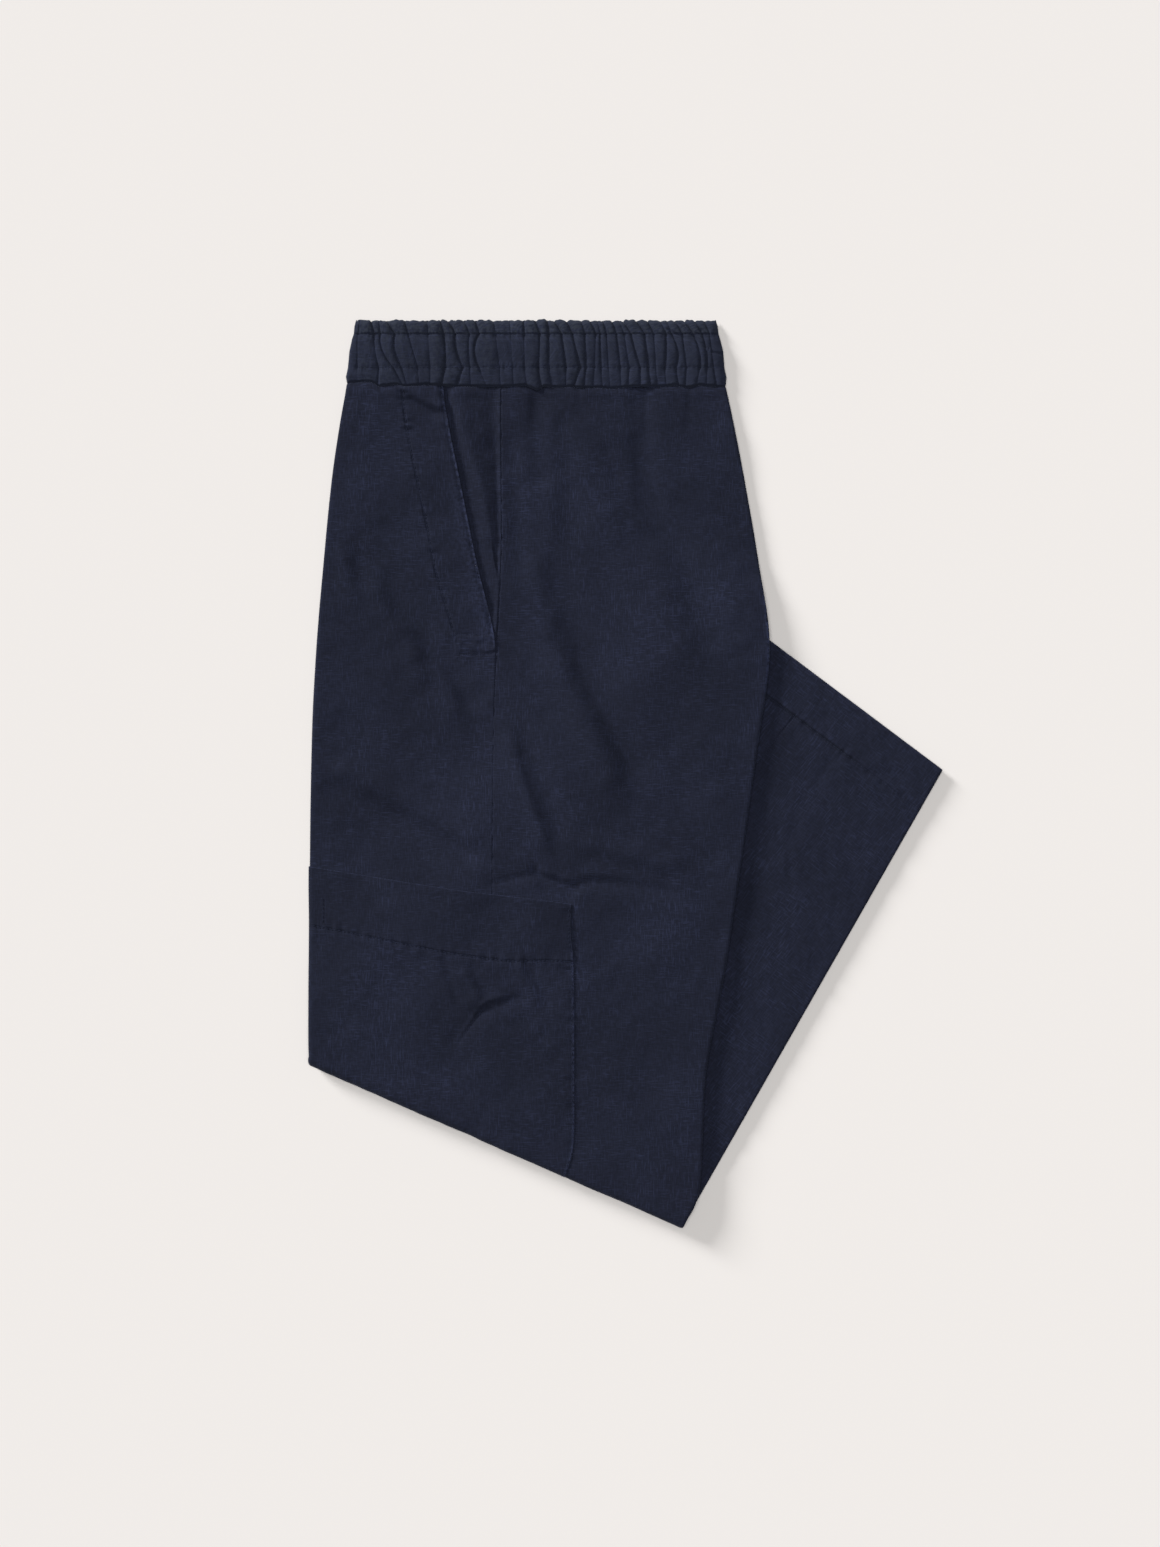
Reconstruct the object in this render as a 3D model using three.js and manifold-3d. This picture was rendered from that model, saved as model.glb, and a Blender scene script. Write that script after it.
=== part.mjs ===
// Linen trousers lying folded: in half down the centre line with the left leg on top, then at the
// knee with both lower legs turned beneath, so that the right leg's hem comes out beside the seat.
// Millimetres, +Z up, +Y towards the waist, +X towards the seat. The finished group is centred on
// the origin and rests on Z = 0.

import * as THREE from 'three';
import { mergeVertices } from 'three/addons/utils/BufferGeometryUtils.js';
import Module from 'manifold-3d';

// Cloth and stack heights
const WALL = 1.2; // a panel of cloth
const FACING_WALL = 1.0; // the finer cloth behind the slanted pocket
const POCKET_WALL = 1.0; // the knee pocket
const POCKET_HEM = 0.5; // what its turned hem adds
const LEG_HEM = 0.4; // what the turned hem of the leg adds
const GAP = 0.3; // between pieces that are sewn or lie together
const STACK = 5.2; // both legs, one on the other
const LAYERS = STACK / 2 - 0.25; // hidden layers, up to just below the stack's middle
const SLOT = 0.35; // height of the cuts that part the layers at the hem
const SLOT_DEPTH = 10; // and their depth, half of it inside the cloth

// Rolled edges, where a leg's outer layer turns into its inner one
const ROLL = 2.4; // how far in the rounding reaches
const BEAD = 8; // width of the turned edge
const BEAD_ANGLES = [90, 52, 18, -18, -52, -88];
const LAYER_ANGLES = [4, 45, 90]; // the same edge on the hidden layers
const INSET = 0.6; // the right leg's edge stands this far inside the left leg's
const UNDER = 6; // how far the lower leg's panels run beneath the body

// Body, from the waist seam to the knee fold: where its outline lies on the left and right, and
// where the pocket mouth, side seam and knee pocket divide it, as shares of its width, and how many
// rows of points it has down to the next section.
const SECTIONS = [
  { lx: -193.5, ly: 269.1, rx: 70.3, ry: 269.1, mouth: 0.2546, seam: 0.4058, pocket: 0.66, steps: 1 },
  { lx: -197.8, ly: 247.1, rx: 75.2, ry: 247.1, mouth: 0.2731, seam: 0.4077, pocket: 0.655, steps: 2 },
  { lx: -204.0, ly: 205.1, rx: 83.6, ry: 203.7, mouth: 0.3105, seam: 0.4088, pocket: 0.645, steps: 3 },
  { lx: -209.6, ly: 149.1, rx: 93.4, ry: 145.6, mouth: 0.3515, seam: 0.4065, pocket: 0.635, steps: 3 },
  { lx: -214.8, ly: 87.5, rx: 100.7, ry: 84.7, mouth: 0.3968, seam: 0.3968, pocket: 0.625, steps: 3 },
  { lx: -218.0, ly: 23.1, rx: 91.3, ry: 10.5, mouth: 0.4084, seam: 0.4084, pocket: 0.62, steps: 4 },
  { lx: -219.4, ly: -65.1, rx: 73.8, ry: -111.3, mouth: 0.4333, seam: 0.4333, pocket: 0.6226, steps: 2 },
  { lx: -219.1, ly: -105.7, rx: 66.8, ry: -153.3, mouth: 0.4421, seam: 0.4421, pocket: 0.6419, steps: 2 },
  { lx: -219.2, ly: -148.4, rx: 56.3, ry: -211.4, mouth: 0.4564, seam: 0.4564, pocket: 0.6688, steps: 2 },
  { lx: -219.2, ly: -183.4, rx: 52.1, ry: -270.9, mouth: 0.4596, seam: 0.4596, pocket: 0.6778, steps: 1 },
  { lx: -217.2, ly: -197.4, rx: 41.8, ry: -312.2, mouth: 0.4686, seam: 0.4686, pocket: 0.6855 },
];
const KNEE = SECTIONS.length - 1; // the section at the knee fold
const MOUTH_END = 4; // the section where the slanted pocket closes
const POCKET_TOP = 6; // the section at the knee pocket's top edge
const POCKET_STITCH = 7; // the section at its hem stitching
const HEM_STEP = 0.12; // the share of a section in which its turned hem thins out
const FOLD_ANGLES = [36, 72, 108, 144, 180]; // rows round the knee fold
const LAYER_TURNS = [0, 30, 55, 75]; // rows of the hidden layers inside it
const FOLD_CLEAR = 0.8; // how far the hidden layers stop before the fold's cloth on the floor
const MOUTH_CLEAR = 0.12; // the facing ends this share of a section above the mouth's lower end
const POCKET_FOLD = 108; // the knee pocket leaves the fold here, clear of the floor
const FRONT_CELLS = 8; // columns across the front panel
const SIDE_CELLS = 4; // columns from the side seam to the knee pocket's back edge
const BACK_CELLS = 7; // columns from there to the edge of the seat

// Lower leg, which lies beneath the body with its hem at the upper right
const LEG = {
  kneeFront: new THREE.Vector2(-220.2, -202.3),
  kneeBack: new THREE.Vector2(39.6, -317.1),
  hemFront: new THREE.Vector2(80.4, 107.9),
  hemBack: new THREE.Vector2(221.6, 2.1),
};
const LEG_SEAM = 0.41; // the outseam, as a share of the hem from its front edge
const HEM_DEPTH = 32; // turned hem
const LEG_CLEAR = 10; // the body stays up this far past the lower leg
const EDGE_RAMP = 40; // then it comes down to the floor over this width beside the leg's front edge
const HEM_RAMP = 40; // and over this one beyond its hem
const HEM_ROWS = [0.3, 1.6, 5, 18, HEM_DEPTH - 1, HEM_DEPTH + 1]; // distances from the hem
const LEG_ROWS = [46, 66, 90, 116, 150, 190, 230, 270, 310, 336, 352]; // and on down the leg
const LEG_CELLS = 7;

// Soft troughs (height below 0) and ridges (above 0) in the cloth, each along one line
const FOLDS = [
  { x1: -61, y1: 272, x2: -58, y2: 205, width: 8, height: -1.2 },
  { x1: -58, y1: 205, x2: -51, y2: 128, width: 12, height: -0.7 },
  { x1: -45, y1: 93, x2: -9, y2: 13, width: 10, height: -1.1 },
  { x1: 12, y1: 272, x2: 15, y2: 191, width: 8, height: -1.1 },
  { x1: 18, y1: 184, x2: 47, y2: 127, width: 12, height: -0.7 },
  { x1: -38, y1: 250, x2: -17, y2: 177, width: 14, height: 0.7 },
  { x1: -17, y1: 177, x2: 18, y2: 114, width: 16, height: 0.7 },
  { x1: -69, y1: 3, x2: -48, y2: -54, width: 10, height: -0.8 },
  { x1: -92, y1: -77, x2: -62, y2: -69, width: 5, height: -0.9 },
  { x1: -62, y1: -69, x2: 30, y2: -84, width: 6, height: -0.8 },
  { x1: -116, y1: -184, x2: -99, y2: -166, width: 6, height: -0.7 },
  { x1: -99, y1: -166, x2: -74, y2: -157, width: 6, height: -0.8 },
  { x1: -160, y1: 120, x2: -140, y2: 40, width: 16, height: -0.5 },
  { x1: -140, y1: -30, x2: -112, y2: -58, width: 14, height: -0.4 },
];
const DEEPEST = -1.2;

// Waistband, from the top edge to the seam: outline, height of its middle, and height of its top.
// gather is the share of each gather's depth that shows there.
const BAND = [
  { y: 316.2, left: -187.2, right: 63.4, middle: 1.9, top: 3.3, gather: 0.25 },
  { y: 311.6, left: -188.4, right: 64.8, middle: 1.9, top: 4.7, gather: 0.9 },
  { y: 306.0, left: -188.9, right: 65.5, middle: 2.2, top: 3.8, gather: 0.6 },
  { y: 302.6, left: -190.0, right: 66.5, middle: 2.8, top: 5.7, gather: 1 },
  { y: 294.0, left: -191.8, right: 68.6, middle: 3.3, top: 7.7, gather: 1 },
  { y: 285.4, left: -192.6, right: 69.3, middle: 3.2, top: 6.7, gather: 0.9 },
  { y: 281.9, left: -193.0, right: 69.6, middle: 2.9, top: 5.2, gather: 0.6 },
  { y: 275.4, left: -194.3, right: 71.0, middle: 2.9, top: 6.5, gather: 0.5 },
  { y: 269.4, left: -193.6, right: 70.4, middle: 2.6, top: 4.1, gather: 0.4 },
];

// Gathers of the waistband: where each crosses the top edge, the upper stitching, the lower
// stitching and the seam, and how deep it is.
const GATHERS = [
  { edge: -181.6, upper: -181.0, lower: -179.2, foot: -180.4, depth: 0.7 },
  { edge: -175.8, upper: -174.0, lower: -170.5, foot: -171.9, depth: 1.2 },
  { edge: -166.0, upper: -159.7, lower: -156.1, foot: -155.0, depth: 1.4 },
  { edge: -153.7, upper: -150.9, lower: -146.7, foot: -145.3, depth: 0.7 },
  { edge: -139.5, upper: -138.0, lower: -137.0, foot: -136.5, depth: 0.4 },
  { edge: -128.5, upper: -124.7, lower: -124.7, foot: -127.4, depth: 1.3 },
  { edge: -121.4, upper: -117.6, lower: -113.1, foot: -115.9, depth: 1.5 },
  { edge: -111.2, upper: -109.6, lower: -106.9, foot: -107.5, depth: 0.6 },
  { edge: -104.0, upper: -102.2, lower: -100.6, foot: -100.0, depth: 1.3 },
  { edge: -91.5, upper: -90.4, lower: -89.6, foot: -90.0, depth: 0.4 },
  { edge: -81.0, upper: -80.6, lower: -79.4, foot: -79.0, depth: 0.4 },
  { edge: -70.0, upper: -69.6, lower: -68.3, foot: -68.3, depth: 0.7 },
  { edge: -62.0, upper: -59.8, lower: -60.0, foot: -59.0, depth: 1.3 },
  { edge: -54.3, upper: -53.1, lower: -52.8, foot: -50.8, depth: 1.0 },
  { edge: -48.6, upper: -44.0, lower: -41.0, foot: -42.4, depth: 1.4 },
  { edge: -39.6, upper: -36.2, lower: -32.6, foot: -34.8, depth: 1.3 },
  { edge: -29.0, upper: -28.0, lower: -26.2, foot: -26.0, depth: 0.9 },
  { edge: -22.0, upper: -18.4, lower: -18.0, foot: -17.0, depth: 1.2 },
  { edge: -14.6, upper: -11.8, lower: -10.6, foot: -9.8, depth: 0.9 },
  { edge: -8.0, upper: -4.2, lower: -3.0, foot: -2.2, depth: 1.2 },
  { edge: -0.6, upper: 5.0, lower: 9.4, foot: 9.0, depth: 1.5 },
  { edge: 8.6, upper: 12.6, lower: 16.0, foot: 17.0, depth: 1.3 },
  { edge: 15.6, upper: 19.6, lower: 22.4, foot: 23.6, depth: 0.9 },
  { edge: 25.0, upper: 28.4, lower: 29.2, foot: 30.0, depth: 0.9 },
  { edge: 33.3, upper: 38.4, lower: 37.6, foot: 37.4, depth: 1.4 },
  { edge: 41.7, upper: 48.4, lower: 49.2, foot: 47.4, depth: 1.4 },
  { edge: 52.6, upper: 57.4, lower: 59.2, foot: 60.0, depth: 1.0 },
];
const GATHER_HALF = 1.4; // half the width of a gather's trough
const SHOULDER = 0.25; // how deep the trough's sides are, as a share of its depth
const CREST = 0.3; // how high the cloth stands between gathers, as a share of that depth
const RUFFLE = 0.6; // how far the top edge steps in and out between gathers
const END_ANGLES = [6, 35, 65]; // rounding at the waistband's two ends
const END_ROLL = 3;

const CLOTH = { color: 0x252835, roughness: 0.92, metalness: 0 };
const BAND_CLOTH = { color: 0x272a38, roughness: 0.92, metalness: 0 };

const wasm = await Module();
wasm.setup();

const radians = THREE.MathUtils.degToRad;
const lerp = THREE.MathUtils.lerp;

// A value of a table between two of its rows, on a smooth curve through them.
function along(table, key, position) {
  const last = table.length - 1;
  const low = Math.min(Math.floor(position), last - 1);
  const value = (row) => table[THREE.MathUtils.clamp(row, 0, last)][key];
  const [p0, p1, p2, p3] = [value(low - 1), value(low), value(low + 1), value(low + 2)];
  const s = position - low;
  const slope = (p2 - p0) / 2;
  const nextSlope = (p3 - p1) / 2;
  const bend = 3 * (p2 - p1) - 2 * slope - nextSlope;
  const twist = 2 * (p1 - p2) + slope + nextSlope;
  return p1 + s * (slope + s * (bend + s * twist));
}

// A closed solid between an upper and a lower grid of points, joined round its rim.
function sheetGeometry(upper, lower) {
  const rows = upper.length;
  const columns = upper[0].length;
  const points = [...upper.flat(), ...lower.flat()];
  const top = (row, column) => row * columns + column;
  const under = (row, column) => rows * columns + top(row, column);
  const faces = [];
  const quad = (a, b, c, d) => faces.push(a, b, c, a, c, d);
  for (let row = 0; row + 1 < rows; row += 1) {
    for (let column = 0; column + 1 < columns; column += 1) {
      quad(top(row, column), top(row + 1, column), top(row + 1, column + 1), top(row, column + 1));
      quad(under(row, column), under(row, column + 1), under(row + 1, column + 1), under(row + 1, column));
    }
  }
  for (let row = 0; row + 1 < rows; row += 1) {
    const end = columns - 1;
    quad(top(row, 0), under(row, 0), under(row + 1, 0), top(row + 1, 0));
    quad(top(row, end), top(row + 1, end), under(row + 1, end), under(row, end));
  }
  for (let column = 0; column + 1 < columns; column += 1) {
    const end = rows - 1;
    quad(top(0, column), top(0, column + 1), under(0, column + 1), under(0, column));
    quad(top(end, column), under(end, column), under(end, column + 1), top(end, column + 1));
  }
  if (signedVolume(points, faces) < 0) faces.reverse();
  const geometry = new THREE.BufferGeometry();
  geometry.setFromPoints(points);
  geometry.setIndex(faces);
  return geometry;
}

function signedVolume(points, faces) {
  let volume = 0;
  for (let face = 0; face < faces.length; face += 3) {
    const [a, b, c] = [points[faces[face]], points[faces[face + 1]], points[faces[face + 2]]];
    volume += a.dot(b.clone().cross(c)) / 6;
  }
  return volume;
}

// Distance of a plan point to the left of the line that runs from one point to another.
function leftOf(from, to, x, y) {
  const dx = to.x - from.x;
  const dy = to.y - from.y;
  return (dx * (y - from.y) - dy * (x - from.x)) / Math.hypot(dx, dy);
}

// Height of what the body lies on: the lower leg, or the floor beside it.
function restHeight(x, y) {
  const beyondFront = leftOf(LEG.kneeFront, LEG.hemFront, x, y) - LEG_CLEAR / 2;
  const beyondHem = leftOf(LEG.hemFront, LEG.hemBack, x, y) - LEG_CLEAR;
  const onLeg = 1 - THREE.MathUtils.smoothstep(beyondFront, 0, EDGE_RAMP);
  const besideHem = 1 - THREE.MathUtils.smoothstep(beyondHem, 0, HEM_RAMP);
  return (STACK + GAP) * onLeg * besideHem;
}

// Height that the folds add to or take from the body's cloth.
function foldHeight(x, y) {
  let height = 0;
  for (const fold of FOLDS) {
    const dx = fold.x2 - fold.x1;
    const dy = fold.y2 - fold.y1;
    const length = Math.hypot(dx, dy);
    const run = ((x - fold.x1) * dx + (y - fold.y1) * dy) / length;
    const aside = (dx * (y - fold.y1) - dy * (x - fold.x1)) / length;
    const past = Math.max(-run, run - length, 0) / fold.width;
    height += fold.height * Math.exp(-((aside / fold.width) ** 2) - past ** 2);
  }
  return Math.max(height, DEEPEST);
}

// One row across the body: its two ends in plan, and its turn round the knee fold in degrees.
function station(position, turn) {
  const left = new THREE.Vector2(along(SECTIONS, 'lx', position), along(SECTIONS, 'ly', position));
  const right = new THREE.Vector2(along(SECTIONS, 'rx', position), along(SECTIONS, 'ry', position));
  const width = left.distanceTo(right);
  const outward = new THREE.Vector2(right.y - left.y, left.x - right.x).divideScalar(width);
  return { position, turn: radians(turn), left, right, width, outward };
}

function planPoint(row, across) {
  return row.left.clone().lerp(row.right, across / row.width);
}

const FOLD_AXIS = (STACK + GAP + STACK) / 2; // height of the axis that the knee fold turns about

// The point of a row that lies so far across it and so high, carried round the knee fold.
function place(row, across, height) {
  const plan = planPoint(row, across);
  const arm = height - FOLD_AXIS;
  plan.addScaledVector(row.outward, arm * Math.sin(row.turn));
  return new THREE.Vector3(plan.x, plan.y, row.turn ? FOLD_AXIS + arm * Math.cos(row.turn) : height);
}

function bodyHeights(row, across) {
  const plan = planPoint(row, across);
  const rest = restHeight(plan.x, plan.y);
  return { rest, middle: rest + STACK / 2, top: rest + STACK + foldHeight(plan.x, plan.y) };
}

function bodyRows(first, last, foldEnd) {
  const rows = [];
  for (let section = first; section < last; section += 1) {
    const { steps } = SECTIONS[section];
    for (let step = 0; step < steps; step += 1) rows.push(station(section + step / steps, 0));
    if (section + 1 === POCKET_STITCH) rows.push(station(POCKET_STITCH - HEM_STEP, 0));
  }
  rows.push(station(last, 0));
  for (const angle of FOLD_ANGLES) {
    if (angle <= foldEnd) rows.push(station(KNEE, angle));
  }
  return rows;
}

// Columns of a row, as distances from its left end.
function spread(from, to, cells) {
  return Array.from({ length: cells + 1 }, (_, cell) => lerp(from, to, cell / cells));
}

function frontColumns(row, division) {
  const line = row.position < MOUTH_END ? division : 'seam';
  const edge = along(SECTIONS, line, row.position) * row.width - GAP / 2;
  return spread(edge, BEAD, FRONT_CELLS);
}

function backColumns(row) {
  const seam = along(SECTIONS, 'seam', row.position) * row.width + GAP / 2;
  const pocket = along(SECTIONS, 'pocket', row.position) * row.width;
  const side = spread(seam, pocket, SIDE_CELLS);
  return [...side, ...spread(pocket, row.width - BEAD, BACK_CELLS).slice(1)];
}

// Points down the rounded edge of the left leg, moved out by so much.
function beadPoints(row, onLeft, out, angles) {
  const across = (inward) => (onLeft ? inward : row.width - inward);
  const { middle, top } = bodyHeights(row, across(ROLL));
  const centre = (top + middle + GAP / 2) / 2;
  const rise = top - centre + out;
  return angles.map((angle) => {
    const inward = ROLL - (ROLL + out) * Math.cos(radians(angle));
    return place(row, across(inward), centre + rise * Math.sin(radians(angle)));
  });
}

// A panel of the left leg: flat cloth from its seam, with a turned edge on the fold. Its points run
// from left to right, as in all pieces of the body, so that their faces lie parallel.
function panelRow(row, columns, onLeft) {
  const upper = columns.map((across) => place(row, across, bodyHeights(row, across).top));
  const lower = columns.map((across) => place(row, across, bodyHeights(row, across).top - WALL));
  upper.push(...beadPoints(row, onLeft, 0, BEAD_ANGLES));
  const inner = onLeft ? BEAD : row.width - BEAD;
  const { middle, top } = bodyHeights(row, inner);
  BEAD_ANGLES.forEach((_, index) => {
    const share = (index + 1) / BEAD_ANGLES.length;
    lower.push(place(row, inner, lerp(top - WALL, middle + GAP / 2, share)));
  });
  return onLeft ? { upper: upper.reverse(), lower: lower.reverse() } : { upper, lower };
}

function solidFromRows(rows) {
  return sheetGeometry(rows.map((row) => row.upper), rows.map((row) => row.lower));
}

function leftFrontPanel() {
  return solidFromRows(bodyRows(0, KNEE, 180).map((row) => panelRow(row, frontColumns(row, 'mouth'), true)));
}

function leftBackPanel() {
  return solidFromRows(bodyRows(0, KNEE, 180).map((row) => panelRow(row, backColumns(row), false)));
}

// The side piece behind the slanted pocket: under the front panel at the mouth, and level with the
// back panel at the side seam.
function leftPocketFacing() {
  const hidden = 10;
  const cells = 6;
  const rows = bodyRows(0, MOUTH_END, 0).slice(0, -1);
  rows.push(station(MOUTH_END - MOUTH_CLEAR, 0));
  return solidFromRows(rows.map((row) => {
    const mouth = along(SECTIONS, 'mouth', row.position) * row.width;
    const seam = along(SECTIONS, 'seam', row.position) * row.width - GAP / 2;
    const columns = [mouth - hidden, ...spread(mouth, seam, cells)];
    const height = (across) => {
      const drop = (WALL + GAP) * (1 - THREE.MathUtils.smoothstep(across, mouth, seam));
      return bodyHeights(row, across).top - drop;
    };
    return {
      upper: columns.map((across) => place(row, across, height(across))),
      lower: columns.map((across) => place(row, across, height(across) - FACING_WALL)),
    };
  }));
}

// The patch pocket on the outside of the knee: the panels' own points, moved out.
function leftKneePocket() {
  const edgeAngles = BEAD_ANGLES.filter((angle) => angle > -40);
  const rows = bodyRows(POCKET_TOP, KNEE, POCKET_FOLD);
  return solidFromRows(rows.map((row) => {
    const flat = [...frontColumns(row, 'seam').reverse(), ...backColumns(row).slice(0, SIDE_CELLS + 1)];
    const hem = row.position <= POCKET_STITCH - HEM_STEP ? POCKET_HEM : 0;
    const layer = (out) => [
      ...beadPoints(row, true, out, edgeAngles).reverse(),
      ...flat.map((across) => place(row, across, bodyHeights(row, across).top + out)),
    ];
    return { upper: layer(GAP + POCKET_WALL + hem), lower: layer(GAP) };
  }));
}

// One row of the hidden layers in the body: the right leg's turned edges on both sides, and all
// between them down to the floor, as places across the row with a top and a bottom.
function layerSection(row) {
  const spots = [];
  const add = (across, onLeg) => {
    const { rest } = bodyHeights(row, across);
    spots.push({ across, top: rest + LAYERS, bottom: onLeg ? rest : 0 });
  };
  const addEdge = (onLeft) => (angle) => {
    const inward = INSET + ROLL * (1 - Math.cos(radians(angle)));
    const across = onLeft ? inward : row.width - inward;
    const centre = bodyHeights(row, across).rest + LAYERS / 2;
    const swell = (LAYERS / 2) * Math.sin(radians(angle));
    spots.push({ across, top: centre + swell, bottom: centre - swell });
  };
  LAYER_ANGLES.forEach(addEdge(true));
  add(BEAD, true);
  add(BEAD + 1, false);
  const columns = [...frontColumns(row, 'seam').reverse().slice(1), ...backColumns(row).slice(1, -1)];
  columns.forEach((across) => add(across, false));
  add(row.width - BEAD - 1, false);
  add(row.width - BEAD, true);
  [...LAYER_ANGLES].reverse().forEach(addEdge(false));
  return spots;
}

// The half of the hidden layers that lies in the body, rounded inside the knee fold.
function bodyLayers() {
  const rows = bodyRows(0, KNEE, 0).map((row) => {
    const spots = layerSection(row);
    return {
      upper: spots.map(({ across, top }) => place(row, across, top)),
      lower: spots.map(({ across, bottom }) => place(row, across, bottom)),
    };
  });
  const fold = station(KNEE, 0);
  const moveOut = (point, distance) => {
    point.x += fold.outward.x * distance;
    point.y += fold.outward.y * distance;
    return point;
  };
  Object.values(rows.at(-1)).flat().forEach((point) => moveOut(point, -FOLD_CLEAR));
  for (const turn of LAYER_TURNS) {
    const ring = (side) => layerSection(fold).map(({ across, top }) => {
      const radius = top - FOLD_AXIS;
      const out = turn ? radius * Math.sin(radians(turn)) : -FOLD_CLEAR / 2;
      return moveOut(place(fold, across, FOLD_AXIS + side * radius * Math.cos(radians(turn))), out);
    });
    rows.push({ upper: ring(1), lower: ring(-1) });
  }
  return solidFromRows(rows);
}

// Distances along the lower leg are measured from its hem, at right angles to it.
const HEM_LINE = LEG.hemBack.clone().sub(LEG.hemFront);
const HEM_ALONG = HEM_LINE.clone().normalize();
const HEM_INWARD = new THREE.Vector2(HEM_ALONG.y, -HEM_ALONG.x);

function fromHem(point) {
  return point.clone().sub(LEG.hemBack).dot(HEM_INWARD);
}

// Where the leg's edge, or its seam, is at a distance from the hem.
function legEdge(distance) {
  const run = distance / fromHem(LEG.kneeBack);
  return LEG.hemBack.clone().lerp(LEG.kneeBack, run);
}

function legSeam(distance) {
  const start = LEG.hemFront.clone().addScaledVector(HEM_LINE, LEG_SEAM);
  const end = LEG.kneeFront.clone().lerp(LEG.kneeBack, LEG_SEAM);
  return start.lerp(end, distance / fromHem(end));
}

// The line that the lower leg's panels reach beneath the body's edge.
function beneathBody(distance) {
  let low = MOUTH_END - 1;
  let high = KNEE;
  for (let pass = 0; pass < 30; pass += 1) {
    const row = station((low + high) / 2, 0);
    if (fromHem(planPoint(row, row.width - UNDER)) < distance) low = row.position;
    else high = row.position;
  }
  const row = station(low, 0);
  return planPoint(row, row.width - UNDER);
}

function legHeight(distance) {
  const rounded = THREE.MathUtils.smoothstep(distance, -1, 2);
  const hem = LEG_HEM * (1 - THREE.MathUtils.smoothstep(distance, HEM_DEPTH - 1, HEM_DEPTH + 1));
  return STACK - LEG_HEM * (2 - rounded) + hem;
}

function legPoint(start, end, run, height) {
  const plan = start.clone().lerp(end, run);
  return new THREE.Vector3(plan.x, plan.y, height);
}

// The right back panel on the lower leg, with the leg's turned edge at its right.
function rightBackPanel() {
  return solidFromRows([...HEM_ROWS, ...LEG_ROWS].map((distance) => {
    const end = legEdge(distance);
    const seam = legSeam(distance).addScaledVector(HEM_ALONG, GAP / 2);
    const body = beneathBody(distance);
    const start = seam.clone().sub(body).dot(HEM_ALONG) > 0 ? seam : body;
    const width = end.distanceTo(start);
    const bead = Math.min(BEAD, width * 0.6);
    const top = legHeight(distance);
    const middle = STACK / 2 + GAP / 2;
    const columns = spread(0, 1 - bead / width, LEG_CELLS);
    const upper = columns.map((run) => legPoint(start, end, run, top));
    const lower = columns.map((run) => legPoint(start, end, run, top - WALL));
    BEAD_ANGLES.forEach((angle, index) => {
      const inward = ROLL * (1 - Math.cos(radians(angle)));
      const height = (top + middle) / 2 + ((top - middle) / 2) * Math.sin(radians(angle));
      upper.push(legPoint(start, end, 1 - inward / width, height));
      const share = (index + 1) / BEAD_ANGLES.length;
      lower.push(legPoint(start, end, 1 - bead / width, lerp(top - WALL, middle, share)));
    });
    return { upper, lower };
  }));
}

// The right front panel, which shows as a small triangle between the body and the outseam.
function rightFrontPanel() {
  const cells = 4;
  const seamAt = (distance) => legSeam(distance).addScaledVector(HEM_ALONG, -GAP / 2);
  const width = (distance) => seamAt(distance).sub(beneathBody(distance)).dot(HEM_ALONG);
  const rows = [...HEM_ROWS, ...LEG_ROWS].filter((distance) => width(distance) > 3);
  return solidFromRows(rows.map((distance) => {
    const start = beneathBody(distance);
    const end = seamAt(distance);
    const top = legHeight(distance);
    const columns = spread(0, 1, cells);
    return {
      upper: columns.map((run) => legPoint(start, end, run, top)),
      lower: columns.map((run) => legPoint(start, end, run, top - WALL)),
    };
  }));
}

// The half of the hidden layers that lies in the lower leg, with the left leg's turned edge.
function legLayers() {
  const fold = station(KNEE, 0);
  const inner = [fold.left, fold.right].map((end) => end.clone().addScaledVector(fold.outward, -FOLD_CLEAR));
  const rows = spread(0, 1, LEG_CELLS).map((run) => {
    const start = LEG.hemFront.clone().lerp(inner[0], run);
    const end = LEG.hemBack.clone().lerp(inner[1], run);
    const width = start.distanceTo(end);
    const upper = [];
    const lower = [];
    for (const share of [0, 0.5, 1 - BEAD / width]) {
      upper.push(legPoint(start, end, share, LAYERS));
      lower.push(legPoint(start, end, share, 0));
    }
    for (const angle of [...LAYER_ANGLES].reverse()) {
      const inward = INSET + ROLL * (1 - Math.cos(radians(angle)));
      const swell = (LAYERS / 2) * Math.sin(radians(angle));
      upper.push(legPoint(start, end, 1 - inward / width, LAYERS / 2 + swell));
      lower.push(legPoint(start, end, 1 - inward / width, LAYERS / 2 - swell));
    }
    return { upper, lower };
  });
  return solidFromRows(rows);
}

// Thin cuts along the hem, which part the hidden layers there.
function hemSlots() {
  return [1 / 3, 2 / 3].map((share) => {
    const slot = new THREE.BoxGeometry(HEM_LINE.length() + SLOT_DEPTH, SLOT_DEPTH, SLOT);
    const centre = LEG.hemFront.clone().lerp(LEG.hemBack, 0.5);
    slot.rotateZ(HEM_LINE.angle());
    slot.translate(centre.x, centre.y, LAYERS * share);
    return slot;
  });
}

function toManifold(geometry) {
  const bare = geometry.clone();
  bare.deleteAttribute('normal');
  bare.deleteAttribute('uv');
  const merged = mergeVertices(bare);
  const vertProperties = merged.attributes.position.array;
  const triVerts = Uint32Array.from(merged.index.array);
  return new wasm.Manifold(new wasm.Mesh({ numProp: 3, vertProperties, triVerts }));
}

function fromManifold(solid) {
  const mesh = solid.getMesh();
  const geometry = new THREE.BufferGeometry();
  geometry.setAttribute('position', new THREE.BufferAttribute(mesh.vertProperties, 3));
  geometry.setIndex(new THREE.BufferAttribute(mesh.triVerts, 1));
  return geometry;
}

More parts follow.
